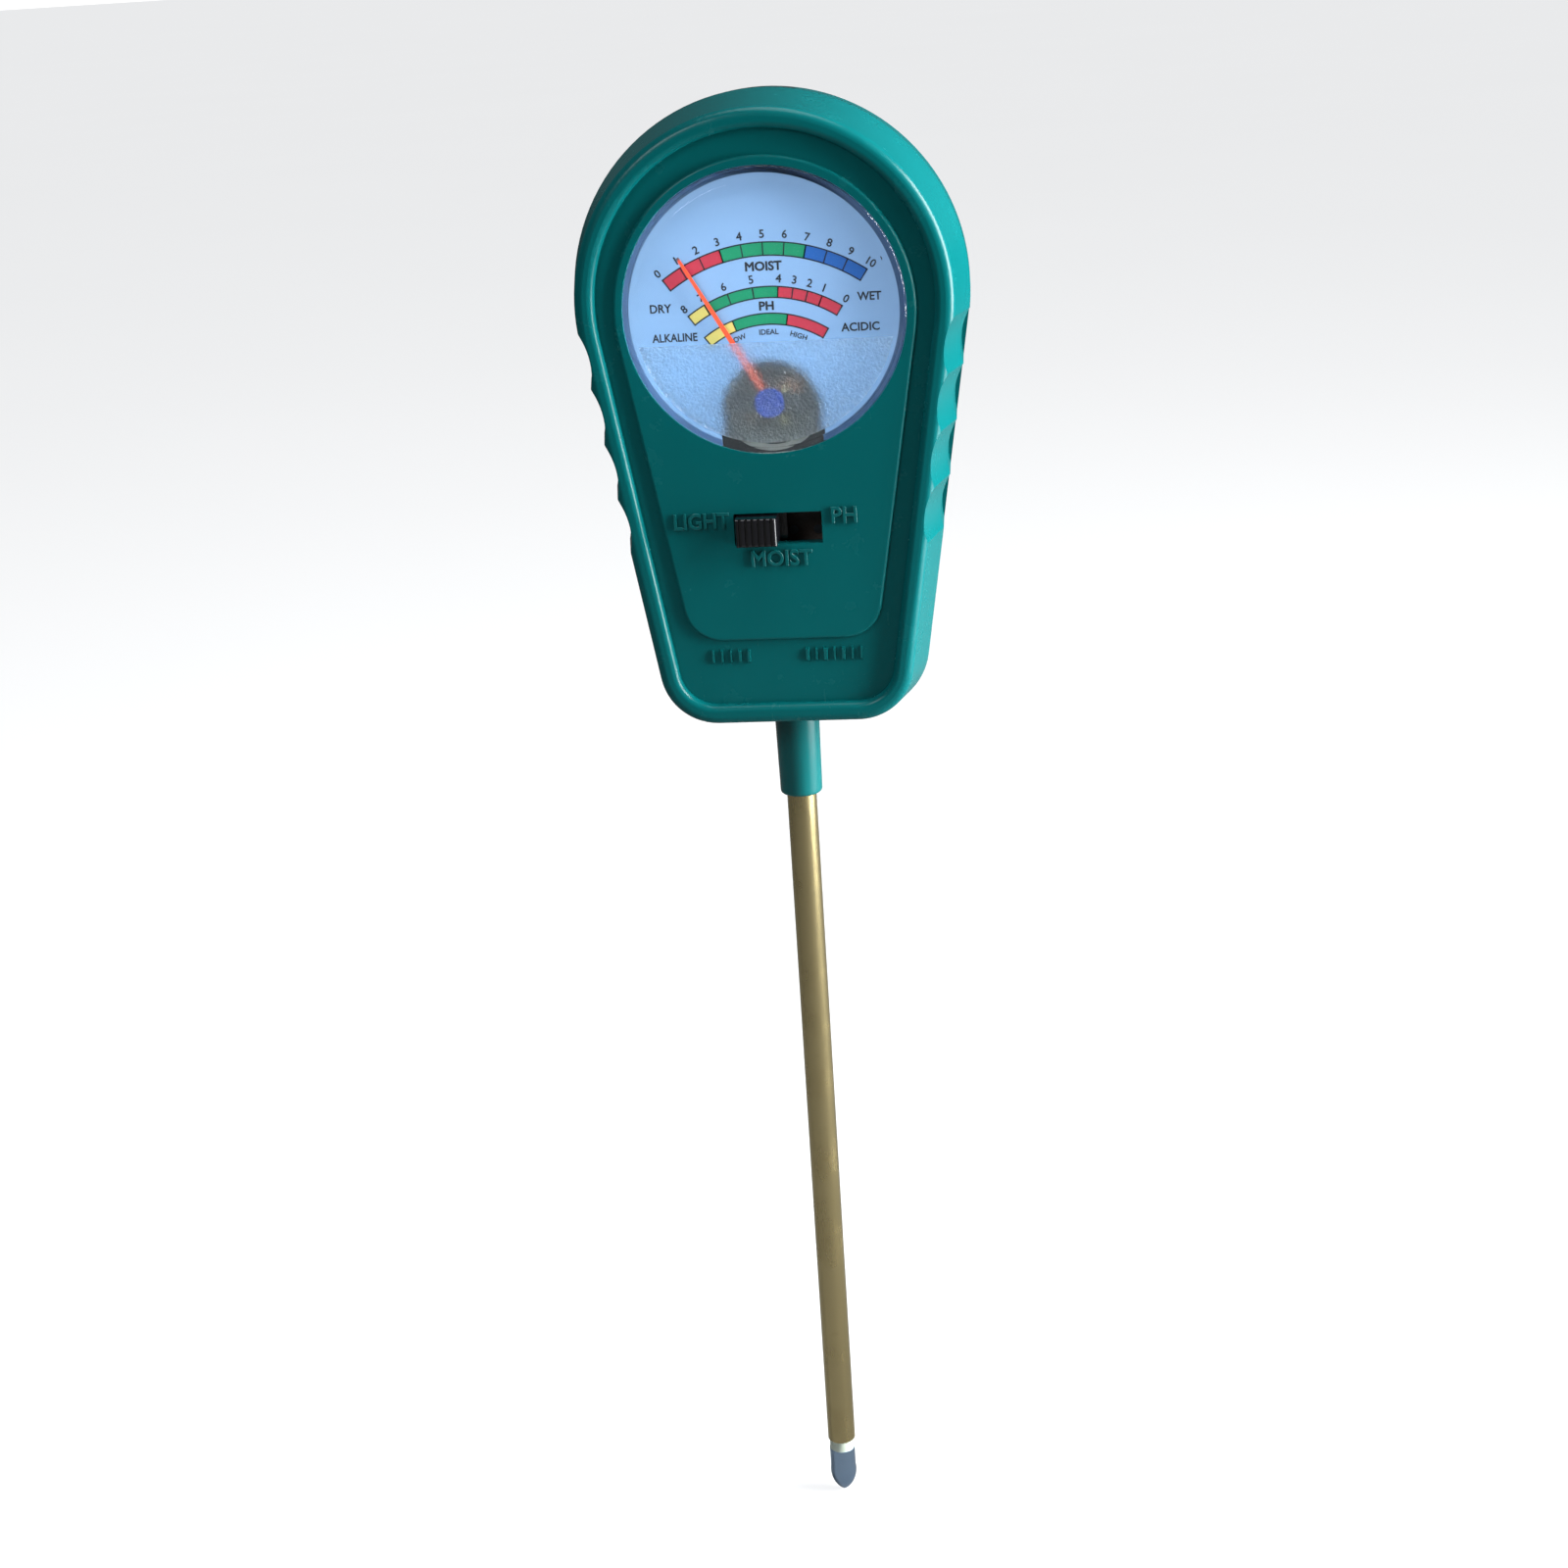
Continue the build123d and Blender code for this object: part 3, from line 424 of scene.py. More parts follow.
@dataclass(frozen=True)
class Lacquered(Finish):
    """Painted sheet or printed ink with a satin top."""

    roughness: float = 0.42
    specks: float = 0.06
    patch_size: float = 8.0 * MM
    speck_size: float = 0.35 * MM
    peel_size: float = 1.2 * MM
    depth: float = 0.005 * MM

    def shade(self, shader: Shader) -> None:
        """Adds thin and thick places in the paint and an orange-peel skin."""
        body = shader.noise(self.patch_size, 3.0)
        speck = shader.noise(self.speck_size, 2.0).step(0.60, 0.78)
        peel = shader.noise(self.peel_size, 2.0)
        dim = tuple(c * (1.0 - 2.0 * self.specks) for c in self.colour)
        face = shader.mix(body.step(0.35, 0.7) * 0.4 + speck * 0.5, self.colour, dim)
        rough = (peel - 0.5) * 0.14 + speck * 0.08 + self.roughness
        skin = shader.bump(peel, self.depth)
        shader.close({"Base Color": face, "Roughness": rough, "Normal": skin})


@dataclass(frozen=True)
class BladePaint(Finish):
    """Bright pointer paint that ends short of the tip, where the bare dark blade shows."""

    end: Colour = (0.10, 0.07, 0.09)
    pivot: Point = (0, 0, 0)
    reach: float = 28.6 * MM
    depth: float = 0.004 * MM

    def shade(self, shader: Shader) -> None:
        """Adds the paint and its worn end."""
        values = {0: shader.place, 1: self.pivot}
        distance = shader.node("ShaderNodeVectorMath", values, operation="DISTANCE")
        ragged = shader.noise(0.4 * MM, 3.0)
        away = Number(shader, distance.outputs["Value"]) + (ragged - 0.5) * (0.6 * MM)
        bare = away.step(self.reach - 0.2 * MM, self.reach + 0.5 * MM)
        thin = shader.noise(1.6 * MM, 3.0).step(0.45, 0.8)
        paint = shader.mix(thin * 0.4, self.colour, tuple(c * 0.8 for c in self.colour))
        face = shader.mix(bare, paint, self.end)
        rough = ragged * 0.2 + bare * 0.15 + 0.28
        skin = shader.bump(ragged, self.depth)
        shader.close({"Base Color": face, "Roughness": rough, "Normal": skin})


@dataclass(frozen=True)
class Laminate(Finish):
    """Pressed board with woven fibres showing through its resin."""

    fibre: Colour = (0.5, 0.4, 0.2)
    pitch: float = 0.6 * MM
    blotch_size: float = 4.0 * MM
    depth: float = 0.012 * MM

    def shade(self, shader: Shader) -> None:
        """Adds the weave, resin blotches and a fibrous skin."""
        across, _, along = shader.split(shader.place)
        turns = 2.0 * math.pi / self.pitch
        weave = (across * turns).sine() * (along * turns).sine() * 0.5 + 0.5
        blotch = shader.noise(self.blotch_size, 4.0)
        face = shader.mix(weave * 0.45 + blotch.step(0.4, 0.75) * 0.25, self.colour, self.fibre)
        rough = weave * 0.15 + blotch * 0.2 + 0.35
        skin = shader.bump(weave, self.depth)
        shader.close({"Base Color": face, "Roughness": rough, "Normal": skin})


@dataclass(frozen=True)
class Banded(Finish):
    """A lacquered resistor with colour bands along its length."""

    bands: tuple[tuple[float, Colour], ...] = (
        (-1.9 * MM, (0.22, 0.06, 0.02)),
        (-0.9 * MM, (0.004, 0.004, 0.005)),
        (0.1 * MM, (0.55, 0.02, 0.02)),
        (1.7 * MM, (0.65, 0.45, 0.12)),
    )
    half_band: float = 0.29 * MM
    half_body: float = 3.2 * MM
    soft: float = 0.03 * MM
    wire_colour: Colour = (0.6, 0.6, 0.58)
    depth: float = 0.01 * MM

    def shade(self, shader: Shader) -> None:
        """Adds the bands over the lacquer, and bare tinned wire beyond its ends."""
        across = shader.split(shader.place)[0]
        mottle = shader.noise(1.0 * MM, 3.0)
        dim = tuple(c * 0.7 for c in self.colour)
        face = shader.mix(mottle.step(0.4, 0.8) * 0.4, self.colour, dim)
        for place, colour in self.bands:
            near = (across - place).absolute()
            band = near.step(self.half_band + self.soft, self.half_band - self.soft)
            face = shader.mix(band, face, colour)
        wire = across.absolute().step(self.half_body - 0.02 * MM, self.half_body + 0.02 * MM)
        shader.close(
            {
                "Base Color": shader.mix(wire, face, self.wire_colour),
                "Metallic": wire,
                "Roughness": mottle * 0.2 + 0.22,
                "Normal": shader.bump(mottle, self.depth),
            }
        )


@dataclass(frozen=True)
class SensorFace(Finish):
    """A light cell: dark silicon with fine silvery collector lines."""

    pitch: float = 1.1 * MM
    crystal_size: float = 1.2 * MM
    crystal_colour: Colour = (0.02, 0.03, 0.12)
    line_colour: Colour = (0.6, 0.6, 0.62)
    depth: float = 0.01 * MM

    def shade(self, shader: Shader) -> None:
        """Adds crystal patches and the collector lines."""
        across = shader.split(shader.place)[0]
        line = (across * (2.0 * math.pi / self.pitch)).cosine().step(0.90, 0.97)
        crystal = shader.cells(self.crystal_size)
        face = shader.mix(crystal.step(0.1, 0.6) * 0.6, self.colour, self.crystal_colour)
        shader.close(
            {
                "Base Color": shader.mix(line, face, self.line_colour),
                "Metallic": line,
                "Roughness": crystal * 0.2 + 0.15,
                "Normal": shader.bump(line, self.depth),
            }
        )


@dataclass(frozen=True)
class PalePaper(Finish):
    """The studio's floor, almost even."""

    glow: float = 0.62
    bounce: float = 0.16

    def shade(self, shader: Shader) -> None:
        """Adds a trace of unevenness, even light to look at, and a duller bounce."""
        cloud = shader.noise(0.4, 3.0)
        face = shader.mix(cloud, self.colour, tuple(c * 0.985 for c in self.colour))
        lit = shader.node("ShaderNodeBsdfDiffuse", {"Color": face}).outputs[0]
        values = {"Color": face, "Strength": self.glow}
        even = shader.node("ShaderNodeEmission", values).outputs[0]
        both = shader.node("ShaderNodeAddShader", {0: lit, 1: even}).outputs[0]
        grey = (self.bounce, self.bounce, self.bounce, 1.0)
        dull = shader.node("ShaderNodeBsdfDiffuse", {"Color": grey}).outputs[0]
        seen = shader.node("ShaderNodeLightPath").outputs["Is Camera Ray"]
        shader.end(shader.node("ShaderNodeMixShader", {0: seen, 1: dull, 2: both}).outputs[0])


class Finishes:
    """Every finish of the meter, by material slot."""

    def __init__(self, pivot: Vector) -> None:
        """Builds the materials; the pointer's paint is measured from pivot."""
        blade = (pivot.x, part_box("pointer")[0].y, pivot.z)
        made = (
            # roughness, grain and depth in metres, shift, shine, seam in metres
            Moulded("case_green", (0.0008, 0.108, 0.115), 0.25, 0.0005, 1e-5, 0.1, 0.18, 0.00012),
            Moulded("collar_green", (0.0012, 0.108, 0.113), 0.2, 0.0005, 8e-6, 0.14, 0.36),
            Moulded("carrier_black", (0.012, 0.012, 0.014), 0.45),
            Moulded("bearing_blue", (0.008, 0.045, 0.30), 0.22, 0.0003, 6e-6),
            Moulded("knob_black", (0.006, 0.006, 0.009), 0.18, 0.0003, 6e-6, 0.3, 0.75),
            Moulded("insulator_grey", (0.50, 0.56, 0.48), 0.45, 0.0003),
            Moulded("sleeve_white", (0.72, 0.70, 0.62), 0.4),
            Moulded("fibre_pad", (0.18, 0.035, 0.02), 0.7, 0.0002, 3e-5),
            Moulded("lead_red", (0.45, 0.012, 0.01), 0.35, 0.0003, 8e-6),
            Moulded("lead_black", (0.010, 0.010, 0.011), 0.38, 0.0003, 8e-6),
            Moulded("lead_yellow", (0.62, 0.42, 0.02), 0.35, 0.0003, 8e-6),
            Moulded("lead_white", (0.68, 0.68, 0.64), 0.38, 0.0003, 8e-6),
            # tarnish, roughness, streaks, age
            Metal("steel", (0.62, 0.63, 0.64), (0.28, 0.26, 0.24), 0.24, ALONG_X, 0.3),
            Metal("blued_steel", (0.09, 0.095, 0.11), (0.05, 0.045, 0.04), 0.30, ALONG_X, 0.4),
            Metal("soft_iron", (0.50, 0.50, 0.47), (0.20, 0.17, 0.12), 0.32, EVEN, 0.5),
            Metal("magnet_grey", (0.18, 0.18, 0.19), (0.06, 0.055, 0.05), 0.42, EVEN, 0.5),
            Metal("aluminium", (0.78, 0.79, 0.80), (0.45, 0.45, 0.46), 0.26, (0.1, 1.0, 1.0), 0.25),
            Metal("copper_wire", (0.80, 0.30, 0.12), (0.30, 0.08, 0.03), 0.22, EVEN, 0.35),
            Metal("brass", (0.55, 0.45, 0.235), (0.34, 0.26, 0.11), 0.20, (1.0, 1.0, 0.02), 0.26),
            Metal("spring_bronze", (0.62, 0.36, 0.16), (0.28, 0.16, 0.08), 0.28, (1, 0.1, 1), 0.3),
            Metal("tip_metal", (0.36, 0.50, 0.70), (0.18, 0.26, 0.40), 0.16, (1, 1, 0.15), 0.35),
            Clear("clear_lens", (0.97, 0.985, 1.0)),
            Clear("window_smoke", (0.16, 0.20, 0.22)),
            # painted light: the pebbled patch is tinted blue for the bluish light it scatters
            Pebbled("lens_pebbling", (0.86, 0.95, 1.0)),
            # painted light: the white dial paint is coloured light blue for the bluish light
            # falling on it
            Lacquered("dial_white", (0.25, 0.42, 0.68), 0.40, 0.03),
            Lacquered("dial_ink", (0.010, 0.012, 0.02), 0.5),
            Lacquered("dial_red", (0.52, 0.035, 0.065), 0.45),
            Lacquered("dial_green", (0.005, 0.27, 0.125), 0.45),
            Lacquered("dial_blue", (0.012, 0.11, 0.42), 0.45),
            Lacquered("dial_yellow", (0.72, 0.60, 0.16), 0.45),
            BladePaint("pointer_red", (0.95, 0.10, 0.035), pivot=blade),
            Laminate("board_tan", (0.30, 0.19, 0.06), (0.46, 0.34, 0.13)),
            Laminate("phenolic_brown", (0.022, 0.012, 0.008), (0.045, 0.024, 0.014), 0.0008),
            Banded("resistor_body", (0.50, 0.36, 0.20)),
            SensorFace("cell_dark", (0.008, 0.009, 0.03)),
            PalePaper("studio_floor", (0.24, 0.242, 0.245), 3.35),
        )
        self.by_name = {finish.name: finish.build() for finish in made}

    def __getitem__(self, name: str) -> bpy.types.Material:
        """The material called name."""
        return self.by_name[name]

    def dress(self, nodes: Sequence[str], finish: str = "") -> None:
        """Puts each CAD node's finish in its material slots.

        Args:
            nodes: names of CAD nodes, whose imported materials are named for their slots.
            finish: one finish for them all, where it isn't their slot's own.
        """
        for node in nodes:
            for slot in frame["nodes"][node].material_slots:
                slot.material = self.by_name[finish or slot.material.name.split(".")[0]]
            LOG.info("dressed %s", node)


# ---------------------------------------------------------------- shapes


def hung(name: str, data: bpy.types.ID) -> bpy.types.Object:
    """A new object with this data, linked into the scene."""
    made = bpy.data.objects.new(name, data)
    bpy.context.scene.collection.objects.link(made)
    return made


class Shape(Wiring):
    """A Geometry Nodes tree with named inputs, run into plain meshes."""

    def __init__(self, name: str, inputs: Mapping[str, str]) -> None:
        """Starts a tree.

        Args:
            name: the tree's name.
            inputs: each input's name and kind, such as Float or Material.
        """
        super().__init__(bpy.data.node_groups.new(name, "GeometryNodeTree"))
        face = self.tree.interface
        face.new_socket("Geometry", in_out="INPUT", socket_type="NodeSocketGeometry")
        for label, kind in inputs.items():
            face.new_socket(label, in_out="INPUT", socket_type=f"NodeSocket{kind}")
        face.new_socket("Geometry", in_out="OUTPUT", socket_type="NodeSocketGeometry")
        self.entry = self.node("NodeGroupInput")

    def given(self, label: str) -> Number:
        """The tree's input called label."""
        return Number(self, self.entry.outputs[label])

    def joined(self, parts: Sequence[Socket]) -> Socket:
        """Several geometries as one.

        Args:
            parts: the geometry sockets, in order.

        Returns:
            The joined geometry's socket.
        """
        node = self.node("GeometryNodeJoinGeometry")
        for part in reversed(parts):
            self.tree.links.new(part, node.inputs[0])
        return node.outputs[0]

    def vector(self, x: object, y: object, z: object) -> Socket:
        """A vector of three values."""
        return self.node("ShaderNodeCombineXYZ", {0: x, 1: y, 2: z}).outputs[0]

    def box(self, size: object, across: int = 2) -> Socket:
        """A box about the origin.

        Args:
            size: its size, a vector or a socket.
            across: how many points it has along X.

        Returns:
            The geometry's socket.
        """
        values = {"Size": size, "Vertices X": across}
        return self.node("GeometryNodeMeshCube", values).outputs[0]

    def row(self, count: object, start: object, end: object, piece: Socket) -> bpy.types.Node:
        """Copies of a piece along a line.

        Args:
            count: how many.
            start: the first one's place.
            end: the last one's place.
            piece: the geometry to copy.

        Returns:
            The Instance on Points node.
        """
        values = {"Count": count, "Start Location": start, "Offset": end}
        line = self.node("GeometryNodeMeshLine", values, mode="END_POINTS")
        values = {"Points": line.outputs[0], "Instance": piece}
        return self.node("GeometryNodeInstanceOnPoints", values)

    def coated(self, geometry: Socket, material: Number) -> Socket:
        """Realizes a geometry's copies and gives it a material."""
        solid = self.node("GeometryNodeRealizeInstances", {0: geometry}).outputs[0]
        values = {"Geometry": solid, "Material": material}
        return self.node("GeometryNodeSetMaterial", values).outputs[0]

    def close(self, geometry: Socket) -> None:
        """Ends the tree in a geometry."""
        self.node("NodeGroupOutput", {0: geometry})

    def mesh(self, name: str, values: Mapping[str, object]) -> Mesh:
        """Runs the tree.

        Args:
            name: the new mesh's name.
            values: each input's value.

        Returns:
            A plain mesh.
        """
        carrier = hung(name + "_maker", bpy.data.meshes.new(name + "_seed"))
        modifier = carrier.modifiers.new(name, "NODES")
        modifier.node_group = self.tree
        keys = {i.name: i.identifier for i in self.tree.interface.items_tree if i.in_out == "INPUT"}
        for label, value in values.items():
            modifier[keys[label]] = value
        carrier.update_tag()
        graph = bpy.context.evaluated_depsgraph_get()
        made = bpy.data.meshes.new_from_object(
            carrier.evaluated_get(graph), preserve_all_data_layers=True, depsgraph=graph
        )
        made.name = name
        bpy.data.objects.remove(carrier)
        return made


def scale_block_tree() -> Shape:
    """A printed block of a dial scale, cut into equal parts.

    Returns:
        The tree, whose block lies on an arc about Centre, with its ink prouder than its paint.
    """
    kinds = dict.fromkeys(("Inner", "Outer", "Start", "Sweep", "Line", "Thickness"), "Float")
    kinds |= {"Segments": "Int", "Centre": "Vector", "Paint": "Material", "Ink": "Material"}
    shape = Shape("scale_block", kinds)
    inner, outer, line = shape.given("Inner"), shape.given("Outer"), shape.given("Line")
    width = outer - inner
    middle = (inner + outer) / 2.0
    sweep = shape.given("Sweep")
    bends, proud = 25, 1.6  # points along the arc, and how thick ink is beside paint
    rail = line / width
    stroke = line / (middle * sweep)

    def bent(flat: Socket) -> Socket:
        """Bends a flat unit block onto the arc."""
        place = shape.node("GeometryNodeInputPosition").outputs[0]
        across, back, up = shape.split(place)
        turn = shape.given("Start") + (across + 0.5) * sweep
        reach = middle + up * width
        arc = shape.vector(
            reach * turn.sine(), back * shape.given("Thickness"), reach * turn.cosine()
        )
        values = {0: arc, 1: shape.given("Centre")}
        moved = shape.node("ShaderNodeVectorMath", values, operation="ADD").outputs[0]
        values = {"Geometry": flat, "Position": moved}
        return shape.node("GeometryNodeSetPosition", values).outputs[0]

    fill = shape.box((1.0, 1.0, 1.0), bends)
    bar = shape.box(shape.vector(1.0 + stroke, proud, rail), bends)
    rails = []
    for edge in (-0.5, 0.5):
        values = {"Geometry": bar, "Translation": (0.0, 0.0, edge)}
        rails.append(shape.node("GeometryNodeTransform", values).outputs[0])
    tick = shape.box(shape.vector(stroke, proud, 1.0 + rail))
    count = shape.given("Segments") + 1.0
    ticks = shape.row(count, (-0.5, 0.0, 0.0), (0.5, 0.0, 0.0), tick).outputs[0]
    ticks = shape.node("GeometryNodeRealizeInstances", {0: ticks}).outputs[0]
    inked = shape.coated(bent(shape.joined([*rails, ticks])), shape.given("Ink"))
    shape.close(shape.joined([shape.coated(bent(fill), shape.given("Paint")), inked]))
    return shape


def winding_tree() -> Shape:
    """Turns of round wire side by side on a rectangular former.

    Returns:
        The tree, whose turns lie flat in X and Y and are stacked along Z.
    """
    kinds = dict.fromkeys(("Width", "Depth", "Height", "Wire", "Corner"), "Float")
    shape = Shape("winding", kinds | {"Turns": "Int", "Copper": "Material"})
    wire, high = shape.given("Wire"), shape.given("Height")
    values = {"Width": shape.given("Width") - wire, "Height": shape.given("Depth") - wire}
    kind = "GeometryNodeCurvePrimitiveQuadrilateral"
    outline = shape.node(kind, values, mode="RECTANGLE").outputs[0]
    values = {"Curve": outline, "Radius": shape.given("Corner"), "Count": 4}
    rounded = shape.node("GeometryNodeFilletCurve", values, mode="POLY").outputs[0]
    values = {"Radius": wire / 2.0, "Resolution": 7}
    section = shape.node("GeometryNodeCurvePrimitiveCircle", values, mode="RADIUS").outputs[0]
    values = {"Curve": rounded, "Profile Curve": section}
    turn = shape.node("GeometryNodeCurveToMesh", values).outputs[0]
    half = (high - wire) / 2.0
    ends = [shape.vector(0.0, 0.0, half * side) for side in (-1.0, 1.0)]
    turns = shape.row(shape.given("Turns"), *ends, turn).outputs[0]
    shape.close(shape.coated(turns, shape.given("Copper")))
    return shape


def raised_mark_tree() -> Shape:
    """A row of raised moulded strokes with drafted sides and uneven widths.

    Returns:
        The tree, whose strokes stand on X and Y and rise along Z.
    """
    kinds = dict.fromkeys(("Pitch", "Wide", "High", "Rise"), "Float")
    shape = Shape("raised_marks", kinds | {"Count": "Int", "Seed": "Int", "Plastic": "Material"})
    values = {"Vertices": 4, "Radius Top": 0.52, "Radius Bottom": math.sqrt(0.5), "Depth": 1.0}
    peg = shape.node("GeometryNodeMeshCone", values).outputs[0]
    square = {"Geometry": peg, "Rotation": (0.0, 0.0, math.radians(45))}
    stroke = shape.node("GeometryNodeTransform", square).outputs[0]
    half = (shape.given("Count") - 1.0) * shape.given("Pitch") / 2.0
    ends = [shape.vector(half * side, 0.0, 0.0) for side in (-1.0, 1.0)]
    row = shape.row(shape.given("Count"), *ends, stroke)
    values = {2: 0.7, 3: 2.2, 8: shape.given("Seed")}  # least width, most width, seed
    uneven = shape.node("FunctionNodeRandomValue", values, data_type="FLOAT")
    wide = shape.given("Wide") * Number(shape, uneven.outputs[1])
    size = shape.vector(wide, shape.given("High"), shape.given("Rise"))
    shape.tree.links.new(size, row.inputs["Scale"])
    shape.close(shape.coated(row.outputs[0], shape.given("Plastic")))
    return shape


def joined_mesh(name: str, parts: Sequence[Mesh]) -> Mesh:
    """Joins plain meshes, with their materials, into one.

    Args:
        name: the new mesh's name.
        parts: the meshes, which are used up.

    Returns:
        The joined mesh.
    """
    points: list[Vector] = []
    faces: list[list[int]] = []
    paints: list[int] = []
    materials: list[bpy.types.Material] = []
    for part in parts:
        first = len(points)
        points.extend(v.co.copy() for v in part.vertices)
        slots = list(part.materials)
        for material in slots:
            if material not in materials:
                materials.append(material)
        for face in part.polygons:
            faces.append([first + v for v in face.vertices])
            paints.append(materials.index(slots[face.material_index]))
    mesh = bpy.data.meshes.new(name)
    mesh.from_pydata(points, [], faces)
    for material in materials:
        mesh.materials.append(material)
    mesh.polygons.foreach_set("material_index", paints)
    mesh.update()
    for part in parts:
        bpy.data.meshes.remove(part)
    return mesh


def place(name: str, mesh: Mesh, body: Body, slot: str, stands_for: Names = ()) -> None:
    """Makes a finished mesh a piece of the meter.

    Args:
        name: the piece's name.
        mesh: its mesh, in place.
        body: the body it rides on.
        slot: the record's material slot that it belongs to; not used.
        stands_for: CAD nodes that it replaces.
    """
    piece = hung(name, mesh)
    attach(piece, body.value)
    if stands_for:
        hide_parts(*stands_for)
    LOG.info("placed %s on %s: %d faces", name, body.value, len(mesh.polygons))


@dataclass(frozen=True)
class Lettering:
    """A word or number that stands proud of a face that looks at the reader.

    Sizes are in metres, apart from bevel and extrude, which are shares of the type's size.
    """

    text: str
    x: float
    z: float
    height: float
    width: float = 0.0
    turn: float = 0.0
    bevel: float = 0.022
    extrude: float = 0.1
    fineness: int = 3

    def mesh(self, top: float, foot: float, material: bpy.types.Material) -> Mesh:
        """Builds the letters.

        Args:
            top: the Y of their front face.
            foot: the Y of their back.
            material: their finish.

        Returns:
            Their mesh, in place.
        """
        curve = bpy.data.curves.new("letters", "FONT")
        curve.body = self.text
        curve.extrude = self.extrude
        curve.bevel_depth = self.bevel
        curve.resolution_u = self.fineness
        carrier = hung("letters_maker", curve)
        graph = bpy.context.evaluated_depsgraph_get()
        mesh = bpy.data.meshes.new_from_object(carrier.evaluated_get(graph), depsgraph=graph)
        bpy.data.objects.remove(carrier)
        low = Vector(tuple(min(v.co[i] for v in mesh.vertices) for i in range(3)))
        high = Vector(tuple(max(v.co[i] for v in mesh.vertices) for i in range(3)))
        size = high - low
        tall = self.height / size.y
        wide = self.width / size.x if self.width else tall
        scale = Matrix.Diagonal((wide, tall, (foot - top) / size.z, 1.0))
        fit = scale @ Matrix.Translation(-(low + high) / 2)
        seat = Matrix.Translation((self.x, (top + foot) / 2, self.z))
        mesh.transform(seat @ Matrix.Rotation(self.turn, 4, "Y") @ UPRIGHT @ fit)
        mesh.materials.clear()
        mesh.materials.append(material)
        return mesh


# ---------------------------------------------------------------- sub-assemblies


@dataclass
class Case:
    """The two shells, their screws, and the raised marks on the front."""

    finishes: Finishes
    letter_rise: float = 0.45 * MM
    panel_depth: float = 13.0 * MM
    field_depth: float = 12.2 * MM
    mark_level: float = 30.4 * MM
    sunk: float = 0.05 * MM
    nodes: Names = ("front_shell", "rear_shell", "case_screws")

    def legends(self) -> None:
        """Raises the three switch legends on the panel."""
        words = (
            Lettering("LIGHT", -13.4 * MM, 55.7 * MM, 3.0 * MM, 10.0 * MM, bevel=0.03),
            Lettering("PH", 12.0 * MM, 56.0 * MM, 3.0 * MM, 4.6 * MM, bevel=0.03),
            Lettering("MOIST", 0.5 * MM, 48.6 * MM, 3.0 * MM, 11.0 * MM, bevel=0.03),
        )
        top, foot = -self.panel_depth - self.letter_rise, -self.panel_depth + self.sunk
        green = self.finishes["collar_green"]
        mesh = joined_mesh("switch_legends", [word.mesh(top, foot, green) for word in words])
        place("switch_legends", mesh, Body.CASE, "case_green")

    def marks(self) -> None:
        """Raises two rows of plain strokes on the foot of the field."""
        tree = raised_mark_tree()
        rows = (("left_marks", 5, -9.9 * MM, 1), ("right_marks", 7, 8.9 * MM, 4))
        for name, count, x, seed in rows:
            values = {
                "Pitch": 1.62 * MM,
                "Wide": 0.42 * MM,
                "High": 2.7 * MM,
                "Rise": self.letter_rise + self.sunk,
                "Count": count,
                "Seed": seed,
                "Plastic": self.finishes["collar_green"],
            }
            mesh = tree.mesh(name, values)
            seat = (x, -self.field_depth + self.sunk, self.mark_level)
            mesh.transform(Matrix.Translation(seat) @ UPRIGHT)
            place(name, mesh, Body.CASE, "case_green")

    def build(self) -> None:
        """Dresses the shells and adds what is raised on them."""
        self.finishes.dress(self.nodes)
        self.finishes.dress(("probe_collar",), "collar_green")
        self.legends()
        self.marks()


@dataclass
class Window:
    """The lens, with the pebbled patch moulded on its inside."""

    finishes: Finishes
    chord: float = 86.9 * MM
    radius: float = 22.4 * MM
    thickness: float = 0.10 * MM
    front: float = 12.88 * MM
    steps: int = 96

    def patch(self) -> Mesh:
        """The patch below the chord.

        Returns:
            A thin closed slice of a disc.
        """
        low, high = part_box("lens")
        centre = (low.z + high.z) / 2
        open_half = math.acos((self.chord - centre) / self.radius)
        sweep = 2 * math.pi - 2 * open_half
        turns = [open_half + sweep * i / self.steps for i in range(self.steps + 1)]
        ring = [(self.radius * math.sin(a), centre + self.radius * math.cos(a)) for a in turns]
        count = len(ring)
        points = [(x, y, z) for y in (-self.front, -self.front + self.thickness) for x, z in ring]
        faces = [list(range(count))[::-1], list(range(count, 2 * count))]
        faces += [[i, (i + 1) % count, (i + 1) % count + count, i + count] for i in range(count)]
        mesh = bpy.data.meshes.new("lens_pebbling")
        mesh.from_pydata(points, [], faces)
        mesh.materials.append(self.finishes["lens_pebbling"])
        return mesh

    def build(self) -> None:
        """Dresses the lens and adds the patch."""
        self.finishes.dress(("lens",))
        place("lens_pebbling", self.patch(), Body.CASE, "clear_lens")


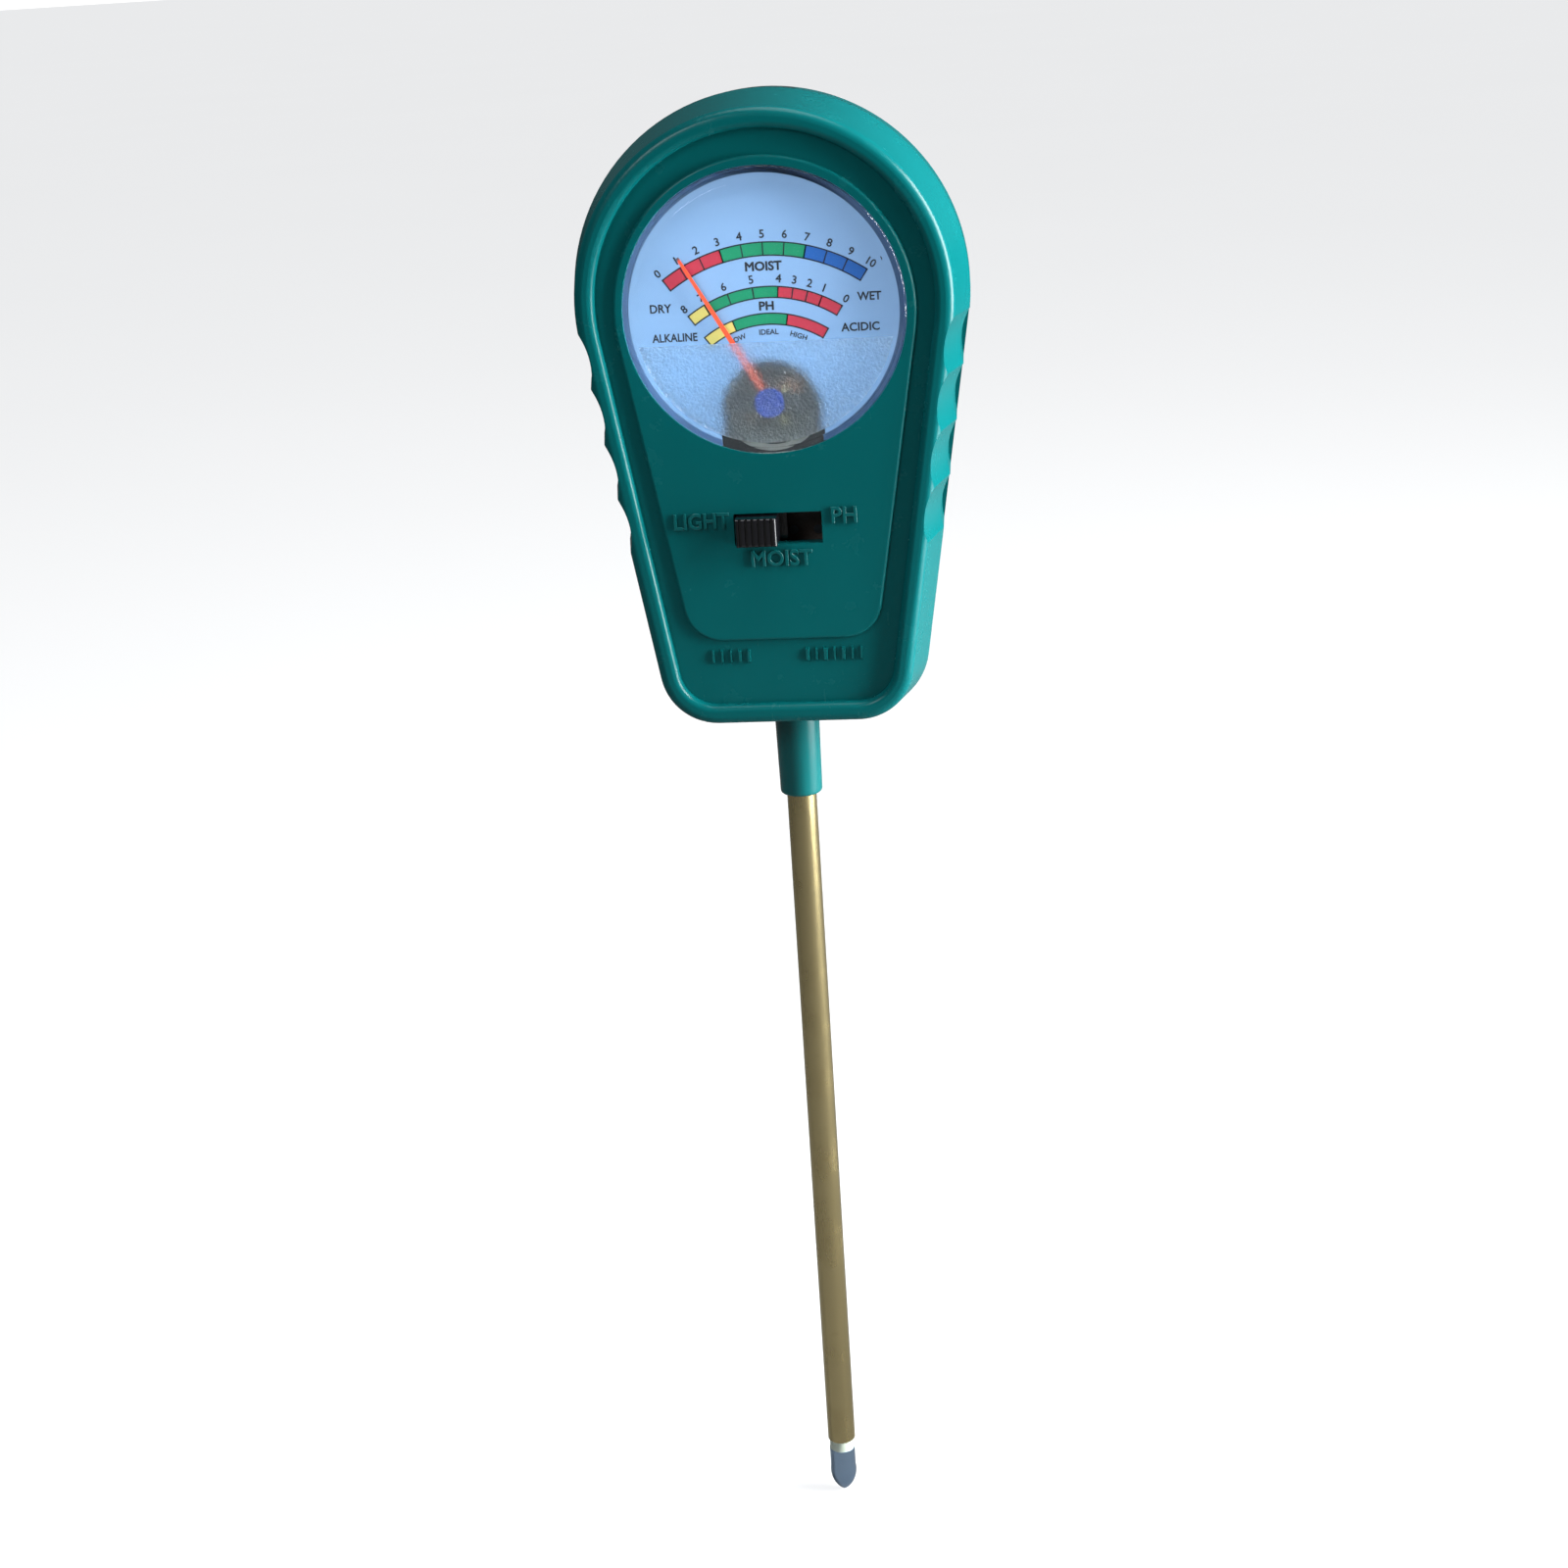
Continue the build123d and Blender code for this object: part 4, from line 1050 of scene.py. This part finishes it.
@dataclass
class Dial:
    """The dial plate and its printing."""

    finishes: Finishes
    centre_x: float = 0.35 * MM
    centre_z: float = 72.2 * MM
    paint: float = 0.02 * MM
    line: float = 0.24 * MM
    digit: float = 1.45 * MM

    def spot(self, reach: float, degrees: float) -> tuple[float, float]:
        """Where a reach and a turn from the scales' centre lie, as (x, z)."""
        turn = math.radians(degrees)
        return self.centre_x + reach * math.sin(turn), self.centre_z + reach * math.cos(turn)

    def scales(self) -> None:
        """Prints the three coloured arcs."""
        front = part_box("dial_plate")[0].y
        moist = (29.0 * MM, 31.25 * MM)
        acid = (21.8 * MM, 23.7 * MM)
        plain = (17.2 * MM, 19.1 * MM)
        blocks = (
            ("dial_red", moist, -35.1, -14.3, 3),
            ("dial_green", moist, -14.3, 13.5, 4),
            ("dial_blue", moist, 13.5, 34.3, 3),
            ("dial_yellow", acid, -36.0, -27.6, 1),
            ("dial_green", acid, -27.6, 5.0, 3),
            ("dial_red", acid, 5.0, 24.0, 3),
            ("dial_red", acid, 24.0, 33.3, 1),
            ("dial_yellow", plain, -36.3, -19.1, 1),
            ("dial_green", plain, -19.1, 10.4, 1),
            ("dial_red", plain, 10.4, 33.0, 1),
        )
        tree = scale_block_tree()
        parts = []
        for paint, (inner, outer), start, end, cells in blocks:
            values = {
                "Inner": inner,
                "Outer": outer,
                "Start": math.radians(start),
                "Sweep": math.radians(end - start),
                "Line": self.line,
                "Thickness": self.paint,
                "Segments": cells,
                "Centre": (self.centre_x, front, self.centre_z),
                "Paint": self.finishes[paint],
                "Ink": self.finishes["dial_ink"],
            }
            parts.append(tree.mesh("block", values))
        place("dial_scales", joined_mesh("dial_scales", parts), Body.CASE, "dial_white")

    def numbers(self) -> list[Lettering]:
        """The figures along the two numbered arcs."""
        moist = [(str(n), 32.65 * MM, -35.1 + 6.94 * n) for n in range(11)]
        turns = (-35.5, -27.2, -17.2, -5.9, 5.1, 11.4, 17.6, 23.6, 33.2)
        acid = [(text, 25.1 * MM, turn) for text, turn in zip("876543210", turns)]
        made = []
        for text, reach, degrees in moist + acid:
            x, z = self.spot(reach, degrees)
            made.append(Lettering(text, x, z, self.digit, turn=math.radians(degrees)))
        return made

    def words(self) -> list[Lettering]:
        """The dial's plain words."""
        small = 0.95 * MM
        made = [
            Lettering("MOIST", 0.1 * MM, 99.4 * MM, 1.65 * MM, 6.4 * MM, bevel=0.034),
            Lettering("PH", 0.2 * MM, 92.6 * MM, 1.55 * MM, 2.6 * MM, bevel=0.034),
            Lettering("DRY", -18.3 * MM, 92.9 * MM, 1.5 * MM, 3.8 * MM),
            Lettering("WET", 18.1 * MM, 93.5 * MM, 1.5 * MM, 4.2 * MM, bevel=0.026),
            Lettering("ALKALINE", -16.2 * MM, 87.8 * MM, 1.45 * MM, 8.0 * MM),
            Lettering("ACIDIC", 16.3 * MM, 88.3 * MM, 1.5 * MM, 6.7 * MM, bevel=0.026),
        ]
        for text, degrees in (("LOW", -20.0), ("IDEAL", 0.0), ("HIGH", 19.0)):
            x, z = self.spot(15.9 * MM, degrees)
            made.append(Lettering(text, x, z, small, turn=math.radians(degrees)))
        return made

    def build(self) -> None:
        """Dresses the plate and prints it."""
        self.finishes.dress(("dial_plate",))
        self.scales()
        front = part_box("dial_plate")[0].y
        ink = self.finishes["dial_ink"]
        words = self.numbers() + self.words()
        letters = [word.mesh(front - self.paint, front + self.paint / 2, ink) for word in words]
        place("dial_lettering", joined_mesh("dial_lettering", letters), Body.CASE, "dial_white")


@dataclass
class Movement:
    """The moving-coil movement and the pointer."""

    finishes: Finishes
    pivot: Vector
    rest_turn: float = math.radians(-30.0)
    winding_width: float = 11.19 * MM
    winding_height: float = 2.0 * MM
    wire: float = 0.10 * MM
    nodes: Names = (
        "movement_carrier", "carrier_screws", "meter_terminals", "yoke_ring", "magnet_core",
        "core_holder", "coil_former", "coil_winding", "coil_pivots", "pointer_hub",
        "balance_weights", "pointer", "front_bridge", "bridge_pads", "rear_bridge",
        "front_bearing", "rear_bearing", "zero_adjuster", "front_hairspring", "rear_hairspring",
    )

    def winding(self) -> None:
        """Winds the coil in place of its plain block."""
        low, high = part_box("coil_winding")
        values = {
            "Width": self.winding_width,
            "Depth": high.y - low.y,
            "Height": self.winding_height,
            "Wire": self.wire,
            "Corner": 0.35 * MM,
            "Turns": round(self.winding_height / self.wire),
            "Copper": self.finishes["copper_wire"],
        }
        mesh = winding_tree().mesh("coil_turns", values)
        seat = Vector((self.pivot.x, (low.y + high.y) / 2, self.pivot.z))
        mesh.transform(Matrix.Translation(seat) @ Matrix.Rotation(self.rest_turn, 4, "Y"))
        mesh.shade_smooth()
        place("coil_turns", mesh, Body.NEEDLE, "copper_wire", ("coil_winding",))

    def build(self) -> None:
        """Dresses the movement and winds its coil."""
        self.finishes.dress(self.nodes)
        self.finishes.dress(("front_bridge",), "blued_steel")
        self.winding()


@dataclass
class Inside:
    """The switch, the board, the light cell and the wires."""

    finishes: Finishes
    nodes: Names = (
        "switch_knob", "switch_wiper", "switch_can", "switch_base", "switch_terminals",
        "circuit_board", "board_screws", "resistors", "light_window", "light_cell", "tube_tag",
        "rod_tag", "tube_lead", "rod_lead", "meter_lead_left", "meter_lead_right",
        "cell_lead_left", "cell_lead_right",
    )

    def build(self) -> None:
        """Dresses the electrical pieces, with the switch's pins painted dark as painted shade in
        the deep slot.
        """
        self.finishes.dress(self.nodes)
        # painted shade: the switch's pins take dark blued steel for the shade deep in the slot
        self.finishes.dress(("switch_terminals",), "blued_steel")


@dataclass
class Probe:
    """The brass tube, its insulator, its inner rod and the tip."""

    finishes: Finishes
    nodes: Names = ("probe_tube", "core_sleeve", "core_rod", "insulator_ring", "probe_tip")

    def build(self) -> None:
        """Dresses the probe."""
        self.finishes.dress(self.nodes)


@dataclass(frozen=True)
class Softbox:
    """A rectangular soft light that looks at a height on the upright axis."""

    name: str
    at: Point
    look: float
    size: tuple[float, float]
    power: float
    colour: Colour = (1.0, 1.0, 1.0)

    def build(self) -> None:
        """Hangs the light."""
        lamp = bpy.data.lights.new(self.name, "AREA")
        lamp.shape = "RECTANGLE"
        lamp.size, lamp.size_y = self.size
        lamp.energy = self.power
        lamp.color = self.colour
        holder = hung(self.name, lamp)
        holder.location = self.at
        way = Vector((0.0, 0.0, self.look)) - Vector(self.at)
        holder.rotation_euler = way.to_track_quat("-Z", "Y").to_euler()


@dataclass
class Studio:
    """Floor, soft lights and camera."""

    finishes: Finishes
    eye: Point = (0.0493, -0.4313, 0.1521)
    azimuth: float = math.radians(6.953)
    elevation: float = math.radians(19.127)
    roll: float = math.radians(-3.684)
    focal: float = 55.76
    sensor: float = 36.0
    near: float = 0.01
    floor_half: float = 40.0
    floor_gap: float = 0.2 * MM
    fill: float = 0.08
    backdrop: float = 1.25

    def lights(self) -> None:
        """Hangs the soft lights and sets the pale surroundings."""
        for box in (
            Softbox("key_right", (0.80, -0.06, 0.25), 0.03, (0.5, 0.8), 38.0, (0.98, 1.0, 0.98)),
            Softbox("low_right", (0.38, -0.05, -0.05), 0.06, (0.30, 0.14), 0.8, (0.93, 0.98, 1.0)),
            Softbox("overhead", (0.05, -0.05, 1.10), 0.0, (0.7, 0.7), 6.0),
            Softbox("front_left", (-0.50, -0.85, 0.62), 0.02, (0.35, 0.35), 3.6, (0.93, 0.97, 1.0)),
        ):
            box.build()
        world = bpy.data.worlds.new("surroundings")
        bpy.context.scene.world = world
        world.use_nodes = True
        world.node_tree.nodes.clear()
        sky = Wiring(world.node_tree)
        cast = {"Color": (0.93, 0.97, 1.0, 1.0), "Strength": self.fill}
        shown = {"Color": (1.0, 1.0, 1.0, 1.0), "Strength": self.backdrop}
        dim, pale = (sky.node("ShaderNodeBackground", v).outputs[0] for v in (cast, shown))
        seen = sky.node("ShaderNodeLightPath").outputs["Is Camera Ray"]
        both = sky.node("ShaderNodeMixShader", {0: seen, 1: dim, 2: pale}).outputs[0]
        sky.node("ShaderNodeOutputWorld", {"Surface": both})

    def floor(self) -> None:
        """Lays the pale floor just under the tip."""
        level = CAD_BOX[0].z - self.floor_gap
        half = self.floor_half
        signs = ((-1, -1), (1, -1), (1, 1), (-1, 1))
        corners = [(x * half, y * half, level) for x, y in signs]
        mesh = bpy.data.meshes.new("studio_floor")
        mesh.from_pydata(corners, [], [(0, 1, 2, 3)])
        mesh.materials.append(self.finishes["studio_floor"])
        ground = hung("studio_floor", mesh)

    def camera(self) -> None:
        """Sets up the camera to the right of and above the head, a little rolled."""
        level = math.cos(self.elevation)
        across, ahead = math.sin(self.azimuth) * level, math.cos(self.azimuth) * level
        back = Vector((across, -ahead, math.sin(self.elevation)))
        right = Vector((0, 0, 1)).cross(back).normalized()
        up = back.cross(right)
        turned_right = right * math.cos(self.roll) + up * math.sin(self.roll)
        turned_up = up * math.cos(self.roll) - right * math.sin(self.roll)
        axes = Matrix((turned_right, turned_up, back)).transposed().to_4x4()
        lens = bpy.data.cameras.new("camera")
        lens.lens = self.focal
        lens.sensor_width = self.sensor
        lens.clip_start = self.near
        holder = hung("camera", lens)
        holder.matrix_world = Matrix.Translation(self.eye) @ axes
        bpy.context.scene.camera = holder

    def build(self) -> None:
        """Sets up the studio."""
        self.lights()
        self.floor()
        self.camera()
        bpy.context.scene.view_settings.view_transform = "Standard"


def main() -> None:
    """Builds and dresses every piece, then the studio."""
    logging.basicConfig(level=logging.INFO, format="%(message)s")
    pivot = next(Vector(j["pos_m"]) for j in frame["joints"] if j["name"] == "pointer_swing")
    finishes = Finishes(pivot)
    for part in (
        Case(finishes),
        Window(finishes),
        Dial(finishes),
        Movement(finishes, pivot),
        Inside(finishes),
        Probe(finishes),
        Studio(finishes),
    ):
        part.build()
        LOG.info("built %s", type(part).__name__)


if __name__ == "__main__":
    main()
